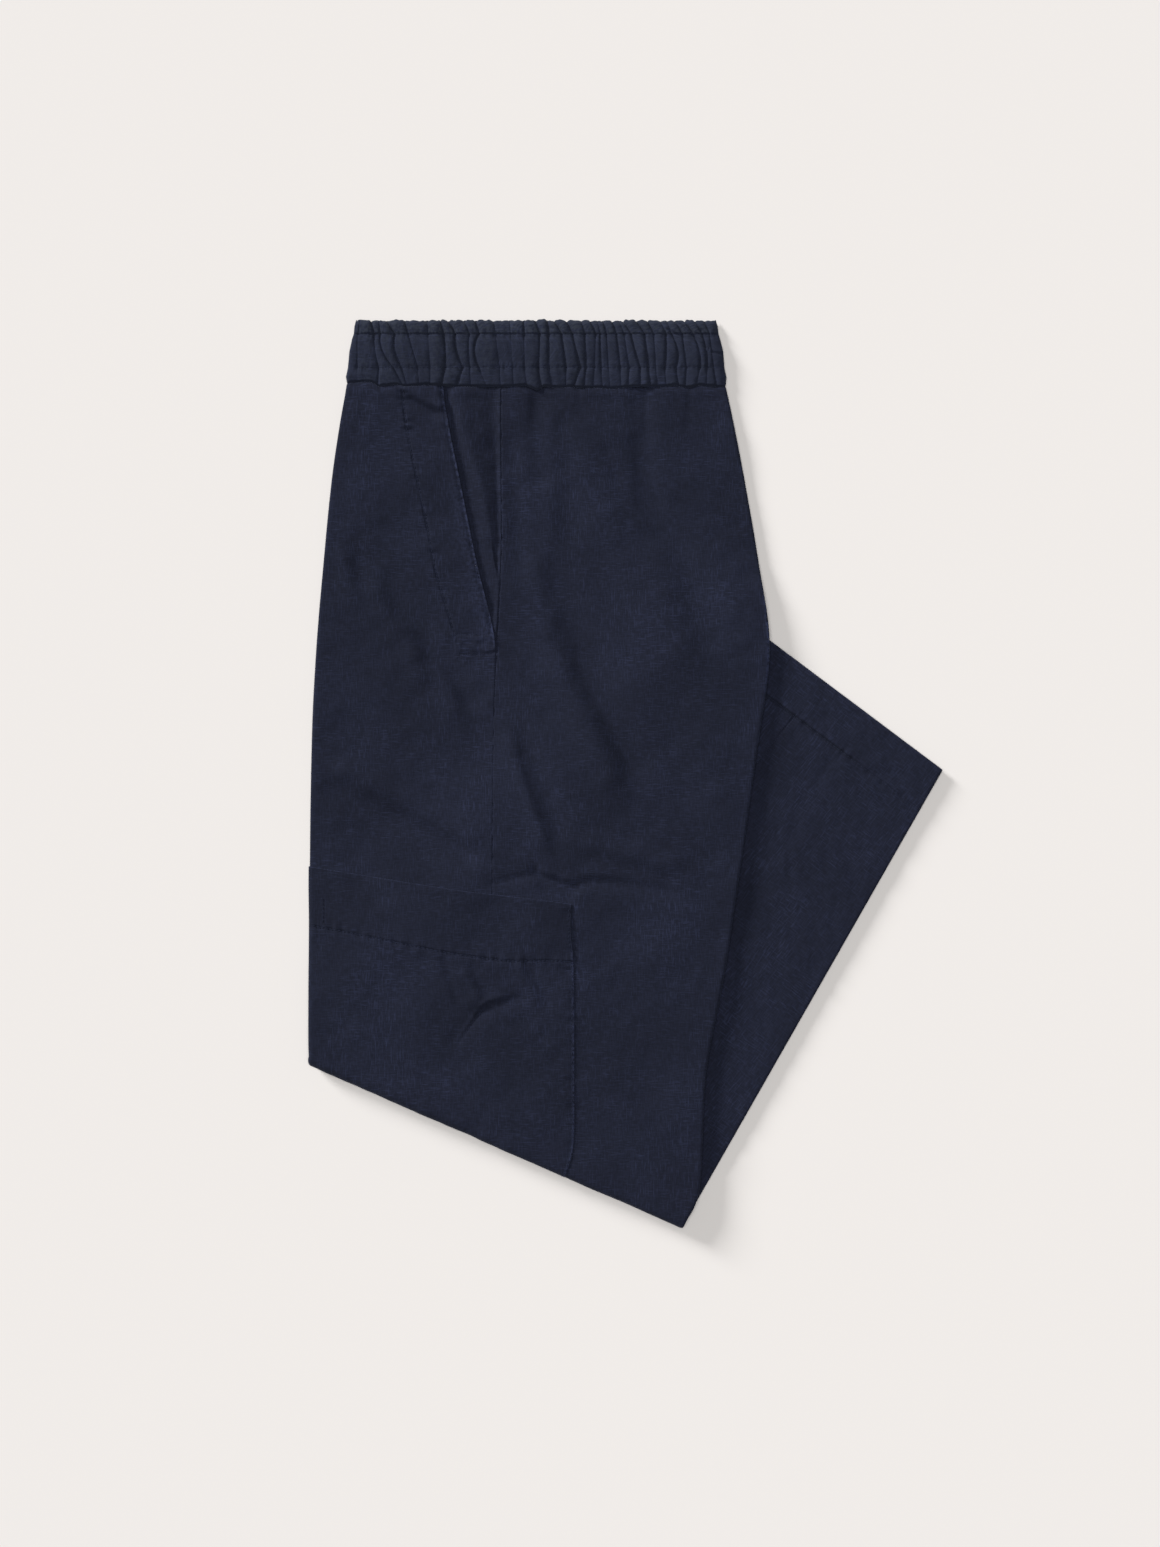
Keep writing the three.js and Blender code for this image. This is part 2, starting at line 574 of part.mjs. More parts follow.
// All that is hidden between the visible pieces, as one rounded solid with layered edges.
function foldedLayers() {
  let solid = toManifold(bodyLayers()).add(toManifold(legLayers()));
  for (const slot of hemSlots()) solid = solid.subtract(toManifold(slot));
  return fromManifold(solid);
}

// Where a gather lies at a height on the waistband.
function gatherAt(gather, y) {
  const stops = [
    [BAND[0].y, gather.edge],
    [BAND[2].y, gather.upper],
    [BAND[6].y, gather.lower],
    [BAND.at(-1).y, gather.foot],
  ];
  const next = Math.max(1, stops.findIndex(([level]) => level <= y));
  const [fromY, fromX] = stops[next - 1];
  const [toY, toX] = stops[next];
  return lerp(fromX, toX, (y - fromY) / (toY - fromY));
}

// Columns across one row of the waistband: its rounded ends, and each gather with its crests.
function bandColumns(level) {
  const inner = [level.left + END_ROLL, level.right - END_ROLL];
  const end = (edge, side) => END_ANGLES.map((angle) => {
    return { x: edge + side * END_ROLL * (1 - Math.cos(radians(angle))), angle };
  });
  const columns = [...end(level.left, 1), { x: inner[0], angle: 90 }];
  GATHERS.forEach((gather, index) => {
    const x = gatherAt(gather, level.y);
    const next = index + 1 < GATHERS.length ? gatherAt(GATHERS[index + 1], level.y) : inner[1];
    const depth = gather.depth * level.gather;
    columns.push({ x: x - GATHER_HALF, angle: 90, lift: -SHOULDER * depth });
    columns.push({ x, angle: 90, lift: -depth });
    columns.push({ x: x + GATHER_HALF, angle: 90, lift: -SHOULDER * depth });
    columns.push({ x: (x + next) / 2, angle: 90, lift: CREST * depth, crest: 1 });
  });
  return [...columns, { x: inner[1], angle: 90 }, ...end(level.right, -1).reverse()];
}

// The left half of the waistband, gathered over its elastic.
function waistbandLeft() {
  return solidFromRows(BAND.map((level, index) => {
    const columns = bandColumns(level);
    const base = level.middle + GAP / 2;
    const ruffle = index === 0 ? RUFFLE : 0;
    const upper = columns.map(({ x, angle, lift = 0, crest = 0 }) => {
      const height = base + (level.top - base) * Math.sin(radians(angle)) + lift;
      return new THREE.Vector3(x, level.y + ruffle * (crest - 0.5), height);
    });
    const lower = upper.map((point) => new THREE.Vector3(point.x, point.y, base));
    return { upper, lower };
  }));
}

// The right half, which lies on the floor.
function waistbandRight() {
  const cells = 24;
  return solidFromRows(BAND.map((level, index) => {
    const height = level.middle - GAP / 2;
    const left = level.left + INSET;
    const right = level.right - INSET;
    const arc = (end, sign) => END_ANGLES.map((angle) => ({
      x: end + sign * END_ROLL * (1 - Math.cos(radians(angle))),
      low: height * (1 - Math.sin(radians(angle))),
    }));
    const flat = spread(left + END_ROLL, right - END_ROLL, cells).map((x) => ({ x, low: 0 }));
    const columns = [...arc(left, 1), ...flat, ...arc(right, -1).reverse()];
    const y = (column) => level.y - (index === 0 ? 1 + RUFFLE * (column % 2) : 0);
    return {
      upper: columns.map(({ x }, column) => new THREE.Vector3(x, y(column), height)),
      lower: columns.map(({ x, low }, column) => new THREE.Vector3(x, y(column), low)),
    };
  }));
}

const pieces = {
  waistband_left: [waistbandLeft(), BAND_CLOTH],
  waistband_right: [waistbandRight(), BAND_CLOTH],
  left_front_panel: [leftFrontPanel(), CLOTH],
  left_back_panel: [leftBackPanel(), CLOTH],
  left_pocket_facing: [leftPocketFacing(), CLOTH],
  left_knee_pocket: [leftKneePocket(), CLOTH],
  right_front_panel: [rightFrontPanel(), CLOTH],
  right_back_panel: [rightBackPanel(), CLOTH],
  folded_layers: [foldedLayers(), CLOTH],
};

const trousers = new THREE.Group();
for (const [name, [geometry, cloth]] of Object.entries(pieces)) {
  geometry.computeVertexNormals();
  const mesh = new THREE.Mesh(geometry, new THREE.MeshStandardMaterial(cloth));
  mesh.name = name;
  trousers.add(mesh);
}
const box = new THREE.Box3().setFromObject(trousers);
const middle = box.getCenter(new THREE.Vector3());
trousers.position.set(-middle.x, -middle.y, -box.min.z);

export default trousers;
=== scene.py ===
import math
from functools import partial

import bpy
import numpy as np
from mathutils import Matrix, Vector


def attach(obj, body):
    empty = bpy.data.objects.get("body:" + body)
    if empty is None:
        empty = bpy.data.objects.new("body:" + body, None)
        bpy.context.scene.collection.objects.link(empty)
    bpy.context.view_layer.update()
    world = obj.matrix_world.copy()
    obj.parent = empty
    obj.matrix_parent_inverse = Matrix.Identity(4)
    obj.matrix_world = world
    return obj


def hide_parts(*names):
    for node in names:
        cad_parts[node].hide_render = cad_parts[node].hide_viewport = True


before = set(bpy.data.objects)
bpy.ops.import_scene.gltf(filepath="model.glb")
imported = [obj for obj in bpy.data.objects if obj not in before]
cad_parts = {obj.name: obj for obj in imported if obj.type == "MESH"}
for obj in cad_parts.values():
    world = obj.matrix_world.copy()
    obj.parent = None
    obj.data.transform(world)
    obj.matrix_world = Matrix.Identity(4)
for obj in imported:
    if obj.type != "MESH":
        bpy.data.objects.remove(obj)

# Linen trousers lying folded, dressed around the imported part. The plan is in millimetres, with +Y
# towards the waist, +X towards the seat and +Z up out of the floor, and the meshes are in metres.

bl_info = {
    "name": "Folded linen trousers",
    "version": (1, 0, 0),
    "blender": (4, 5, 0),
    "location": "3D View > Sidebar > Trousers",
    "description": "Cloth, gathers and stitching for a folded pair of linen trousers",
    "category": "Object",
}

MM = 0.001
PLAN_ZERO = np.array([-0.19, -0.12, 0.0])  # the plan's zero in the frame, in millimetres
UP = np.array([0.0, 0.0, 1.0])
NEARLY_UP = UP + 0.001  # for a line that turns straight down

# Stack of the folded legs, as in the solids
STACK = 5.2  # both legs, one on the other
GAP = 0.3  # between pieces that lie on each other
LAYERS = STACK / 2 - 0.25  # the lower of the two legs
FOLD_AXIS = STACK + GAP / 2  # height of the axis that the knee fold turns about
ROLL = 2.4  # how far in the rounding of a turned edge reaches
INSET = 0.6  # the right leg's edge stands this far inside the left leg's
TUCK = 8.0  # how far a turned edge runs on beneath
TUCK_STEPS = np.array([1.5, 3.5, TUCK - ROLL])  # its columns, past the rounding
UNDER = 8.0  # how far the lower leg's panels run beneath the body
FOLD_CLEAR = 0.8  # how far the hidden lower leg stays inside the knee fold's line

# Body, from the waist seam to the knee fold: its outline on the left and right, and where the
# pocket mouth, the side seam and the knee pocket's back edge divide it, as shares of its width.
SECTIONS = np.array([
    (-193.5, 269.1, 70.3, 269.1, 0.2546, 0.4058, 0.66),
    (-197.8, 247.1, 75.2, 247.1, 0.2731, 0.4077, 0.655),
    (-204.0, 205.1, 83.6, 203.7, 0.3105, 0.4088, 0.645),
    (-209.6, 149.1, 93.4, 145.6, 0.3515, 0.4065, 0.635),
    (-214.8, 87.5, 100.7, 84.7, 0.3968, 0.3968, 0.625),
    (-218.0, 23.1, 91.3, 10.5, 0.4084, 0.4084, 0.62),
    (-219.4, -65.1, 73.8, -111.3, 0.4333, 0.4333, 0.6226),
    (-219.1, -105.7, 66.8, -153.3, 0.4421, 0.4421, 0.6419),
    (-219.2, -148.4, 56.3, -211.4, 0.4564, 0.4564, 0.6688),
    (-219.2, -184.4, 52.2, -287.0, 0.4596, 0.4596, 0.6778),
    (-218.9, -197.4, 42.4, -312.3, 0.4686, 0.4686, 0.6855),
])
LEFT_X, LEFT_Y, RIGHT_X, RIGHT_Y, MOUTH, SEAM, POCKET = range(7)
KNEE = len(SECTIONS) - 1
MOUTH_END = 4  # row at which the pocket's mouth meets the side seam
POCKET_TOP = 6  # row of the knee pocket's top edge
POCKET_STITCH = 7  # row of its hem's stitching
TUCKED_SEAM = 0.9  # the back's edge runs on this far beneath the front's
POCKET_OUT = 0.85  # how far the knee pocket's face stands out from the panels'
POCKET_FOLD = 108  # degrees round the knee fold at which the knee pocket ends
MOUTH_STITCH = 1.9  # from the pocket's mouth to the groove of its stitching
MOUTH_THREAD = 1.7  # and to the thread in it
POCKET_EDGE_STITCH = 2.0  # from the knee pocket's back edge to its stitching
FACING_UNDER = 8.0  # how far the pocket's side piece runs on beneath the front

# Lower leg, beneath the body: its corners
KNEE_FRONT = np.array([-220.2, -202.3])
KNEE_BACK = np.array([39.6, -317.1])
HEM_FRONT = np.array([80.4, 107.9])
HEM_BACK = np.array([221.6, 2.1])
HEM_LINE = HEM_BACK - HEM_FRONT
HEM_ALONG = HEM_LINE / np.hypot(*HEM_LINE)
HEM_INWARD = np.array([HEM_ALONG[1], -HEM_ALONG[0]])
LEG_SEAM = 0.41  # share of the leg's width at which its side seam lies
HEM_DEPTH = 32.0
LEG_HEM = 0.4  # how much the turned hem adds to the leg's height
LEG_CLEAR = 10.0  # the body stays level this far past the hem, and half as far past the leg's edge
EDGE_RAMP = 80.0  # beyond, it comes down to the floor over this length past the leg's edge
HEM_RAMP = 40.0  # and over this length past the hem
INNER_HEIGHT = 3.6  # of the right lower leg's inner layer
INNER_SLANT = 0.93  # share of the leg's own slant that this layer's front edge has

# Broad soft folds of the body: a line, its half width and its height
FOLDS = [
    ((-61, 272), (-58, 205), 8, -1.2),
    ((-58, 205), (-51, 128), 12, -0.7),
    ((12, 272), (15, 191), 8, -1.1),
    ((18, 184), (47, 127), 12, -0.9),
    ((-38, 250), (-17, 177), 14, 0.7),
    ((-17, 177), (18, 114), 16, 0.8),
    ((-92, -77), (-62, -69), 5, -0.6),
    ((-62, -69), (30, -84), 6, -0.6),
    ((-56, -79), (-40, -86), 5, -1.0),
    ((-116, -184), (-99, -166), 6, -0.5),
    ((-99, -166), (-74, -157), 6, -0.6),
    ((-180, 141), (-108, 52), 12, -0.7),
    ((12, 170), (20, 95), 18, 0.5),
    ((-140, -30), (-112, -58), 14, -0.4),
    ((-79, 228), (-72, 137), 6, -0.7),
    ((7, 228), (23, 179), 6, -0.5),
    ((84, 137), (99, 106), 6, -0.6),
    ((30, 20), (58, -60), 14, -0.6),
    ((-20, -120), (10, -200), 16, -0.5),
]
# Where the cloth drops from a soft ridge to a soft trough: a line with the ridge on its right, its
# half width and half its drop
DROPS = [
    ((-37, 74), (-3, 4), 14.0, 3.1),
    ((-52, 140), (-45, 98), 13.0, 1.3),
    ((-75, 23), (-52, -42), 8.5, 1.6),
    ((32, 149), (46, 93), 16.0, 1.4),
    ((-50, 238), (-46, 168), 12.0, 1.3),
    ((30, -69), (-23, -54), 9.0, 1.2),
    ((-191, 149), (-187, 130), 8.0, 0.9),
    ((-168, 128), (-157, 105), 9.0, 1.0),
    ((-147, 101), (-138, 71), 9.0, 1.2),
    ((-126, 73), (-114, 48), 8.0, 1.1),
    ((-112, -49), (-198, -4), 10.0, 2.0),
    ((-131, 253), (-154, 265), 4.0, 2.0),
    ((-36, -79), (-58, -70), 3.0, 1.5),
]
POCKET_DROPS = [
    ((-108, -136), (-100, -152), 5.0, 0.8),
    ((-70, -134), (-59, -158), 6.0, 0.7),
    ((-84, -157), (-98, -163), 3.0, 0.6),
]
SHALLOW = -1.4  # lower than this the cloth meets the layer beneath, and flattens
DEEPEST = -2.4
FOLD_GAIN = 1.6  # the folds stand out a little more in the cloth than in the solids
CRUMPLES = ((2.6, 50, 10), (1.0, 22, 11), (0.35, 8, 12))  # share of their height, width and seed

# Finer creases on top of them: the points of each, its half width, its depth at the start and at
# the end, and the height of the lip beside it, on its left, or on its right if below zero
CREASES = [
    (((-129.0, 271.0), (-124.2, 261.1), (-117.0, 242.0)), 2.4, 1.5, 0.4, -0.3),
    (((-153.6, 268.0), (-136.1, 259.7), (-127.2, 252.8)), 2.8, 0.9, 0.3, -0.3),
    (((-170.4, 270.0), (-162.1, 257.7)), 2.4, 0.6, 0.2, -0.2),
    (((-60.1, 270.0), (-64.0, 245.0)), 3.0, 1.2, 0.3, -0.3),
    (((-32.1, 270.7), (-31.8, 255.0)), 2.2, 1.0, 0.2, -0.2),
    (((14.3, 270.7), (14.3, 238.0)), 2.0, 1.0, 0.3, -0.3),
    (((45.1, 270.7), (44.4, 242.0)), 2.8, 0.9, 0.2, -0.2),
    (((-72.0, 12.0), (-62.9, -16.1), (-48.9, -53.9)), 2.6, 0.7, 0.3, -0.3),
    (((-95.6, -77.7), (-78.8, -73.5), (-62.0, -69.3)), 1.5, 0.3, 1.1, 0.3),
    (((-62.0, -69.3), (-48.0, -74.9), (-35.4, -79.1)), 2.8, 1.2, 2.2, 0.3),
    (((-47.5, -74.4), (-41.0, -77.6), (-35.0, -78.4)), 3.4, 1.4, 1.6, 0.0),
    (((-35.4, -79.1), (-22.8, -75.6), (2.5, -77.2), (36.0, -83.3)), 3.2, 2.4, 0.4, 0.4),
    (((-12.0, 224.0), (-4.0, 200.0), (2.0, 176.0)), 4.0, 0.5, 0.2, -0.1),
    (((66.0, 150.0), (84.0, 112.0)), 4.0, 0.2, 0.6, -0.1),
]
POCKET_CREASES = [
    (((-115.5, -187.2), (-108.0, -176.5), (-101.8, -167.5)), 0.9, 0.5, 0.9, 0.5),
    (((-103.0, -169.2), (-98.0, -162.5), (-94.0, -159.5)), 1.3, 0.7, 0.9, 0.4),
    (((-94.0, -159.5), (-85.0, -157.0), (-73.4, -155.8)), 1.8, 0.9, 0.2, 0.4),
    (((-125.0, -127.4), (-115.9, -161.7), (-106.0, -168.0)), 3.2, 0.7, 0.4, -0.2),
    (((-54.1, -136.9), (-38.1, -142.1)), 2.0, 0.4, 0.8, 0.2),
    (((-108.1, -245.7), (-75.9, -252.0)), 4.0, 0.5, 0.3, 0.0),
]
# Creases of the waistband and of the lower leg, in the same way
BAND_CREASES = [
    (((34.0, 317.0), (45.0, 306.5), (56.0, 296.0)), 0.8, 1.3, 1.5, 0.5),
    (((38.5, 317.0), (50.5, 303.5), (58.5, 295.0)), 0.7, 1.0, 1.4, 0.5),
    (((30.0, 309.0), (37.0, 305.0), (47.0, 301.0)), 0.8, 0.8, 0.4, 0.3),
    (((53.0, 309.0), (60.0, 303.0)), 0.8, 0.8, 0.8, 0.3),
    (((57.0, 293.5), (67.5, 291.5)), 0.9, 0.4, 0.9, 0.3),
]
LEG_CREASES = [
    (((96.0, 60.0), (118.0, 34.0), (122.0, 12.0)), 3.0, 0.5, 0.2, 0.15),
    (((150.0, 18.0), (128.0, -16.0), (112.0, -52.0)), 5.0, 0.4, 0.3, 0.15),
    (((104.0, -36.0), (92.0, -88.0)), 5.0, 0.4, 0.2, 0.1),
    (((170.0, 0.0), (196.0, -2.0)), 3.0, 0.4, 0.2, 0.1),
]

# Where the waist seam wanders from side to side
SEAM_WAVE = np.array([
    (-192.8, 271.6), (-191.4, 272.3), (-179.1, 273.0), (-175.3, 272.3), (-171.1, 269.5),
    (-159.2, 270.9), (-152.2, 269.5), (-138.9, 270.9), (-128.4, 270.2), (-123.1, 269.5),
    (-99.0, 269.5), (-86.4, 269.1), (-68.9, 270.2), (-61.2, 266.7), (-56.3, 269.5),
    (-45.1, 268.8), (-38.8, 269.5), (-30.4, 268.4), (-19.2, 268.8), (-9.4, 268.1),
    (3.1, 269.1), (10.8, 269.5), (29.0, 269.5), (36.0, 270.5), (40.9, 268.8),
    (45.8, 268.6), (52.1, 270.5), (64.0, 269.1), (70.3, 269.5),
])
SEAM_Y = 269.25  # its mean height
SEAM_REACH = 6.0  # how far from the seam the cloth follows it

# Second row of stitches beside the slanted pocket, x by y
BAG_STITCH = np.array([
    (93.1, -117.2), (109.2, -122.1), (126.7, -127.4), (142.1, -131.9), (173.6, -137.9),
    (198.1, -143.1), (222.6, -148.4), (240.1, -151.9), (257.6, -154.3), (269.1, -154.8),
])
TACK_ROWS = (96.5, 82.6)  # heights of the two rows that close the pocket below its mouth
TACK_ENDS = (-117.2, -89.6)  # where these rows start and end in x

# The crest of the pocket side piece's middle fold, from the waist down, and the height of what
# lies on its right, by shares of the way from the crest to the side seam
FACING_RIDGE = ((-120.3, 270.0), (-112.4, 240.8), (-104.1, 215.2), (-98.1, 192.9), (-93.5, 165.6))
FACING_FALL = np.array([
    (0, 1.6), (0.08, 1.52), (0.16, 1.28), (0.5, -0.1), (0.72, -1.3), (0.8, -1.55), (0.86, -1.5),
    (0.93, -0.9), (1, -0.1),
])

# How far the front stands above the back at the side seam, by the run down from the waist
SEAM_PROUD = np.array([
    (0, 0.55), (118, 0.5), (140, 0.25), (160, 0.45), (190, 0.4), (215, 0.1), (900, 0.06)])
# How deep the lower leg's hem is stitched, by the run along it, which also sets how dark its
# painted shade is
HEM_PRESSED = np.array([(-150, 0.5), (-118, 1.1), (-60, 1.0), (-42, 0.3), (-10, 0.25), (0, 0.1)])

# Waistband, from its top edge to the seam: y, left, right, height of its middle and of its top
BAND = np.array([
    (316.2, -187.2, 63.4, 1.9, 3.3),
    (311.6, -188.4, 64.8, 1.9, 4.7),
    (306.0, -188.9, 65.5, 2.2, 3.8),
    (302.6, -190.0, 66.5, 2.8, 5.7),
    (294.0, -191.8, 68.6, 3.3, 7.7),
    (285.4, -192.6, 69.3, 3.2, 6.7),
    (281.9, -193.0, 69.6, 2.9, 5.2),
    (275.4, -194.3, 71.0, 2.9, 6.5),
    (269.4, -193.6, 70.4, 2.6, 4.1),
])
BAND_STITCHES = (305.8, 282.4)  # y of the two rows of stitching over the elastic
BAND_HEAD, BAND_FOOT = BAND[0, 0], BAND[-1, 0]
END_ROLL = 3.0  # how far in the rounding of the waistband's ends reaches
# Height of the waistband's top by Y, puffed between its rows of stitching
BAND_TOP = np.array([
    (269.4, 4.9), (270.8, 5.6), (276.5, 6.0), (281.9, 5.7), (285.4, 6.2), (294.0, 6.6),
    (300.0, 6.1), (304.6, 4.9), (305.4, 4.7), (306.8, 5.1), (311.6, 4.9), (316.2, 3.6),
])
GATHER_GAIN = 1.3  # the gathers stand out a little more in the cloth than in the table
GATHER_APART = 1.2  # the least from one to the next

# Gathers: x at the top edge, the upper stitching, the lower stitching and the seam, how far it
# bows aside at mid-height, and its depth in the header, the middle and the strip above the seam
GATHERS = np.array([
    (-186.1, -186.1, -186.1, -186.1, 0.0, 0, 0.3, 0),
    (-176.8, -174.3, -171.1, -172.1, -1.0, 1.3, 0.4, 0.9),
    (-171.1, -170.1, -161.0, -154.6, -3.1, 0.1, 0.7, 0.9),
    (-166.2, -159.9, -155.4, -151.5, -2.4, 1.3, 0.6, 0.2),
    (-153.3, -150.8, -144.1, -143.1, 0.0, 0.5, 0.4, 0.2),
    (-137.5, -136.8, -135.4, -135.4, 0.0, 0.25, 0.1, 0.2),
    (-128.4, -126.0, -125.1, -127.7, 0.7, 1, 1.3, 1.3),
    (-122.8, -117.9, -112.6, -116.9, -1.8, 1.3, 1.4, 0.9),
    (-111.6, -108.1, -107.8, -107.4, -0.7, 0.5, 0.4, 0.2),
    (-103.9, -101.5, -101.5, -96.2, -3.1, 1.3, 1.3, 0.3),
    (-91.3, -89.9, -87.1, -86.4, 0.0, 0.2, 0.1, 0.25),
    (-80.1, -79.4, -78.0, -77.3, 0.0, 0.25, 0.1, 0.25),
    (-70.3, -70.0, -69.6, -68.2, 0.0, 0.9, 0.2, 0.2),
    (-62.2, -59.1, -60.1, -58.2, 0.3, 1.2, 0.6, 1.4),
    (-53.9, -52.8, -53.1, -50.8, 0.0, 0.8, 0.8, 0.3),
    (-49.3, -43.8, -40.7, -40.9, 0.0, 1.2, 1.2, 0.4),
    (-40.6, -36.4, -31.1, -35.3, 0.0, 0.9, 1.3, 0.9),
    (-30.4, -27.6, -26.9, -28.3, 0.0, 0.4, 0.8, 0.6),
    (-24.1, -20.1, -21.0, -22.0, 0.0, 0.8, 0.15, 0.3),
    (-18.9, -17.1, -16.5, -15.4, 0.0, 0.2, 1.2, 0.3),
    (-15.0, -12.6, -11.2, -10.1, 0.0, 1, 0.35, 0.2),
    (-8.8, -5.7, -3.1, -2.4, 0.2, 0.7, 0.9, 0.3),
    (-4.2, -0.3, 3.1, 2.4, 0.0, 0.2, 0.2, 0.6),
    (-1.4, 4.5, 10.8, 10.8, -0.3, 1.4, 1.6, 1.2),
    (7.8, 14.0, 16.4, 17.8, 0.0, 1.2, 1.2, 0.9),
    (15.7, 20.3, 21.7, 22.8, 0.0, 1.2, 0.2, 0.25),
    (24.8, 28.7, 27.9, 29.0, 0.6, 0.3, 1.2, 0.3),
    (29.4, 32.5, 35.7, 37.4, 2.8, 0.3, 1.2, 0.9),
    (35.0, 40.2, 43.0, 42.0, 0.0, 1.3, 0.5, 0.8),
    (41.6, 47.6, 52.5, 50.0, 1.8, 1.4, 0.9, 0.3),
    (48.6, 53.9, 57.4, 57.0, 1.0, 0.9, 0.9, 0.3),
    (55.3, 59.1, 61.9, 64.0, 0.0, 0.7, 0.3, 0.8),
])

# Where columns and rows of the meshes lie
BODY_SPANS = [(0, 4, 0.5), (4, 30, 1.2), (30, 172, 1.9), (172, 194, 0.8), (194, 900, 2.0)]
FOLD_TURNS = np.linspace(12, 180, 15)  # degrees round the knee fold
EDGE_STEPS = np.array([0.0, 0.06, 0.2, 0.45, 0.8, 1.3, 2.0, 2.8])
SLOT_STEPS = np.array([0.0, 0.06, 0.2, 0.45, 0.7, 0.9, 1.1, 1.35, 1.6, 1.9, 2.3, 2.8])
STITCH_STEPS = np.linspace(-2.4, 2.4, 13)
LEG_STEPS = np.concatenate([
    EDGE_STEPS, np.linspace(4, HEM_DEPTH - 3, 14), HEM_DEPTH + STITCH_STEPS,
    np.linspace(HEM_DEPTH + 4, 352, 150)])
BAND_STITCH_STEPS = np.linspace(1.2, -1.2, 7)
ROLL_ANGLES = np.radians(np.concatenate([np.linspace(76, -76, 12), [-90]]))
POCKET_ANGLES = np.radians(np.linspace(-35, 76, 9))
END_ANGLES = np.radians(np.array([4, 14, 26, 40, 56, 73]))
UNDER_ANGLES = np.radians(np.array([4, 16, 32, 50, 70]))
THIGH_ANGLES = np.radians(np.array([4, 16, 30, 46, 64, 90]))
RIM = 0.45  # how far from a cut edge the cloth is rounded

# Where each piece lies on the weave's endless plan, so that no two show the same yarns
BACK_CLOTH, FACING_CLOTH, POCKET_CLOTH = (31.0, 17.0), (7.0, 53.0), (61.0, 29.0)
BAND_CLOTH, UNDER_CLOTH, LEG_CLOTH = (120.0, 90.0), (10.0, 70.0), (200.0, 10.0)
THIGH_CLOTH, LOWER_LEG_CLOTH = (90.0, 44.0), (33.0, 12.0)
LEG_FRONT_PAST, INNER_PAST = 40.0, 70.0
MATERIAL_NAMES = {
    "linen": "Navy linen", "linen_waistband": "Navy linen, waistband",
    "thread": "Spun sewing thread"}

# Stage: each sun's strength, spread, elevation and compass direction in degrees from +X
SUNS = {"window_light": (3.9, 16, 17, 140), "ceiling_light": (1.99, 34, 88, 140)}
FLOOR_SIZE = 12  # metres
SENSOR, LENS = 36, 70  # millimetres
PICTURE_HEIGHT = 1.0829  # metres: 1547 rows of 0.7 mm
CAMERA_NEARER = 0.006  # metres, which fits the outline to the picture
CAMERA_PLACE = (-0.03134, -0.00047, PICTURE_HEIGHT * LENS / SENSOR - CAMERA_NEARER)


def linear(code):
    """Linear colour of an sRGB hex code."""
    values = [int(code[start:start + 2], 16) / 255 for start in (1, 3, 5)]
    return tuple(v / 12.92 if v <= 0.04045 else ((v + 0.055) / 1.055) ** 2.4 for v in values)


# ---------------------------------------------------------------- settings

class ClothSizes(bpy.types.PropertyGroup):
    """Sizes of the cloth and its sewing."""
    cloth: bpy.props.FloatProperty(
        name="Cloth", description="Thickness of one layer of linen", default=0.0008,
        unit="LENGTH")
    pocket_cloth: bpy.props.FloatProperty(
        name="Pocket cloth", description="Thickness of the knee pocket", default=0.0007,
        unit="LENGTH")
    stitch: bpy.props.FloatProperty(
        name="Stitch", description="From one stitch to the next", default=0.003, unit="LENGTH")
    thread: bpy.props.FloatProperty(
        name="Thread", description="Thickness of the sewing thread", default=0.00045,
        unit="LENGTH")
    crumple: bpy.props.FloatProperty(
        name="Crumple", description="Height of the small unevenness of the cloth",
        default=0.00016, unit="LENGTH")
    pucker: bpy.props.FloatProperty(
        name="Pucker", description="Height of the ripples along a seam", default=0.0003,
        unit="LENGTH")


class ClothColours(bpy.types.PropertyGroup):
    """Colours of the cloth, its thread and the floor."""
    navy: bpy.props.FloatVectorProperty(
        name="Navy", description="Colour of the linen", subtype="COLOR",
        default=linear("#191c2a"))
    slub: bpy.props.FloatVectorProperty(
        name="Slub", description="Colour of its thicker yarns", subtype="COLOR",
        default=linear("#333954"))
    band: bpy.props.FloatVectorProperty(
        name="Waistband", description="Colour of the waistband's linen", subtype="COLOR",
        default=linear("#1e2230"))
    worn: bpy.props.FloatVectorProperty(
        name="Worn", description="Colour of the waistband where it is rubbed", subtype="COLOR",
        default=linear("#40464c"))
    thread: bpy.props.FloatVectorProperty(
        name="Thread", description="Colour of the sewing thread", subtype="COLOR",
        default=linear("#1f2436"))
    floor: bpy.props.FloatVectorProperty(
        name="Floor", description="Colour of the floor", subtype="COLOR",
        default=linear("#e7e3e0"))


def size(name):
    """A size from the settings, in millimetres."""
    return getattr(bpy.context.scene.trousers_sizes, name) / MM


# ---------------------------------------------------------------- the plan

def along(column, position):
    """A column of the body's table at a place between its rows, on a smooth curve."""
    values = SECTIONS[:, column]
    last = len(values) - 1
    low = np.clip(np.floor(position).astype(int), 0, last - 1)
    p0, p1, p2, p3 = (values[np.clip(low + step, 0, last)] for step in (-1, 0, 1, 2))
    s = position - low
    slope, next_slope = (p2 - p0) / 2, (p3 - p1) / 2
    bend = 3 * (p2 - p1) - 2 * slope - next_slope
    twist = 2 * (p1 - p2) + slope + next_slope
    return p1 + s * (slope + s * (bend + s * twist))


def smoothstep(value, low, high):
    """0 up to low and 1 from high, eased between them."""
    s = np.clip((value - low) / (high - low), 0, 1)
    return s * s * (3 - 2 * s)


def bell(distance, width):
    """1 on a line, falling softly to nothing at about two widths from it."""
    return np.exp(-(distance / width) ** 2)


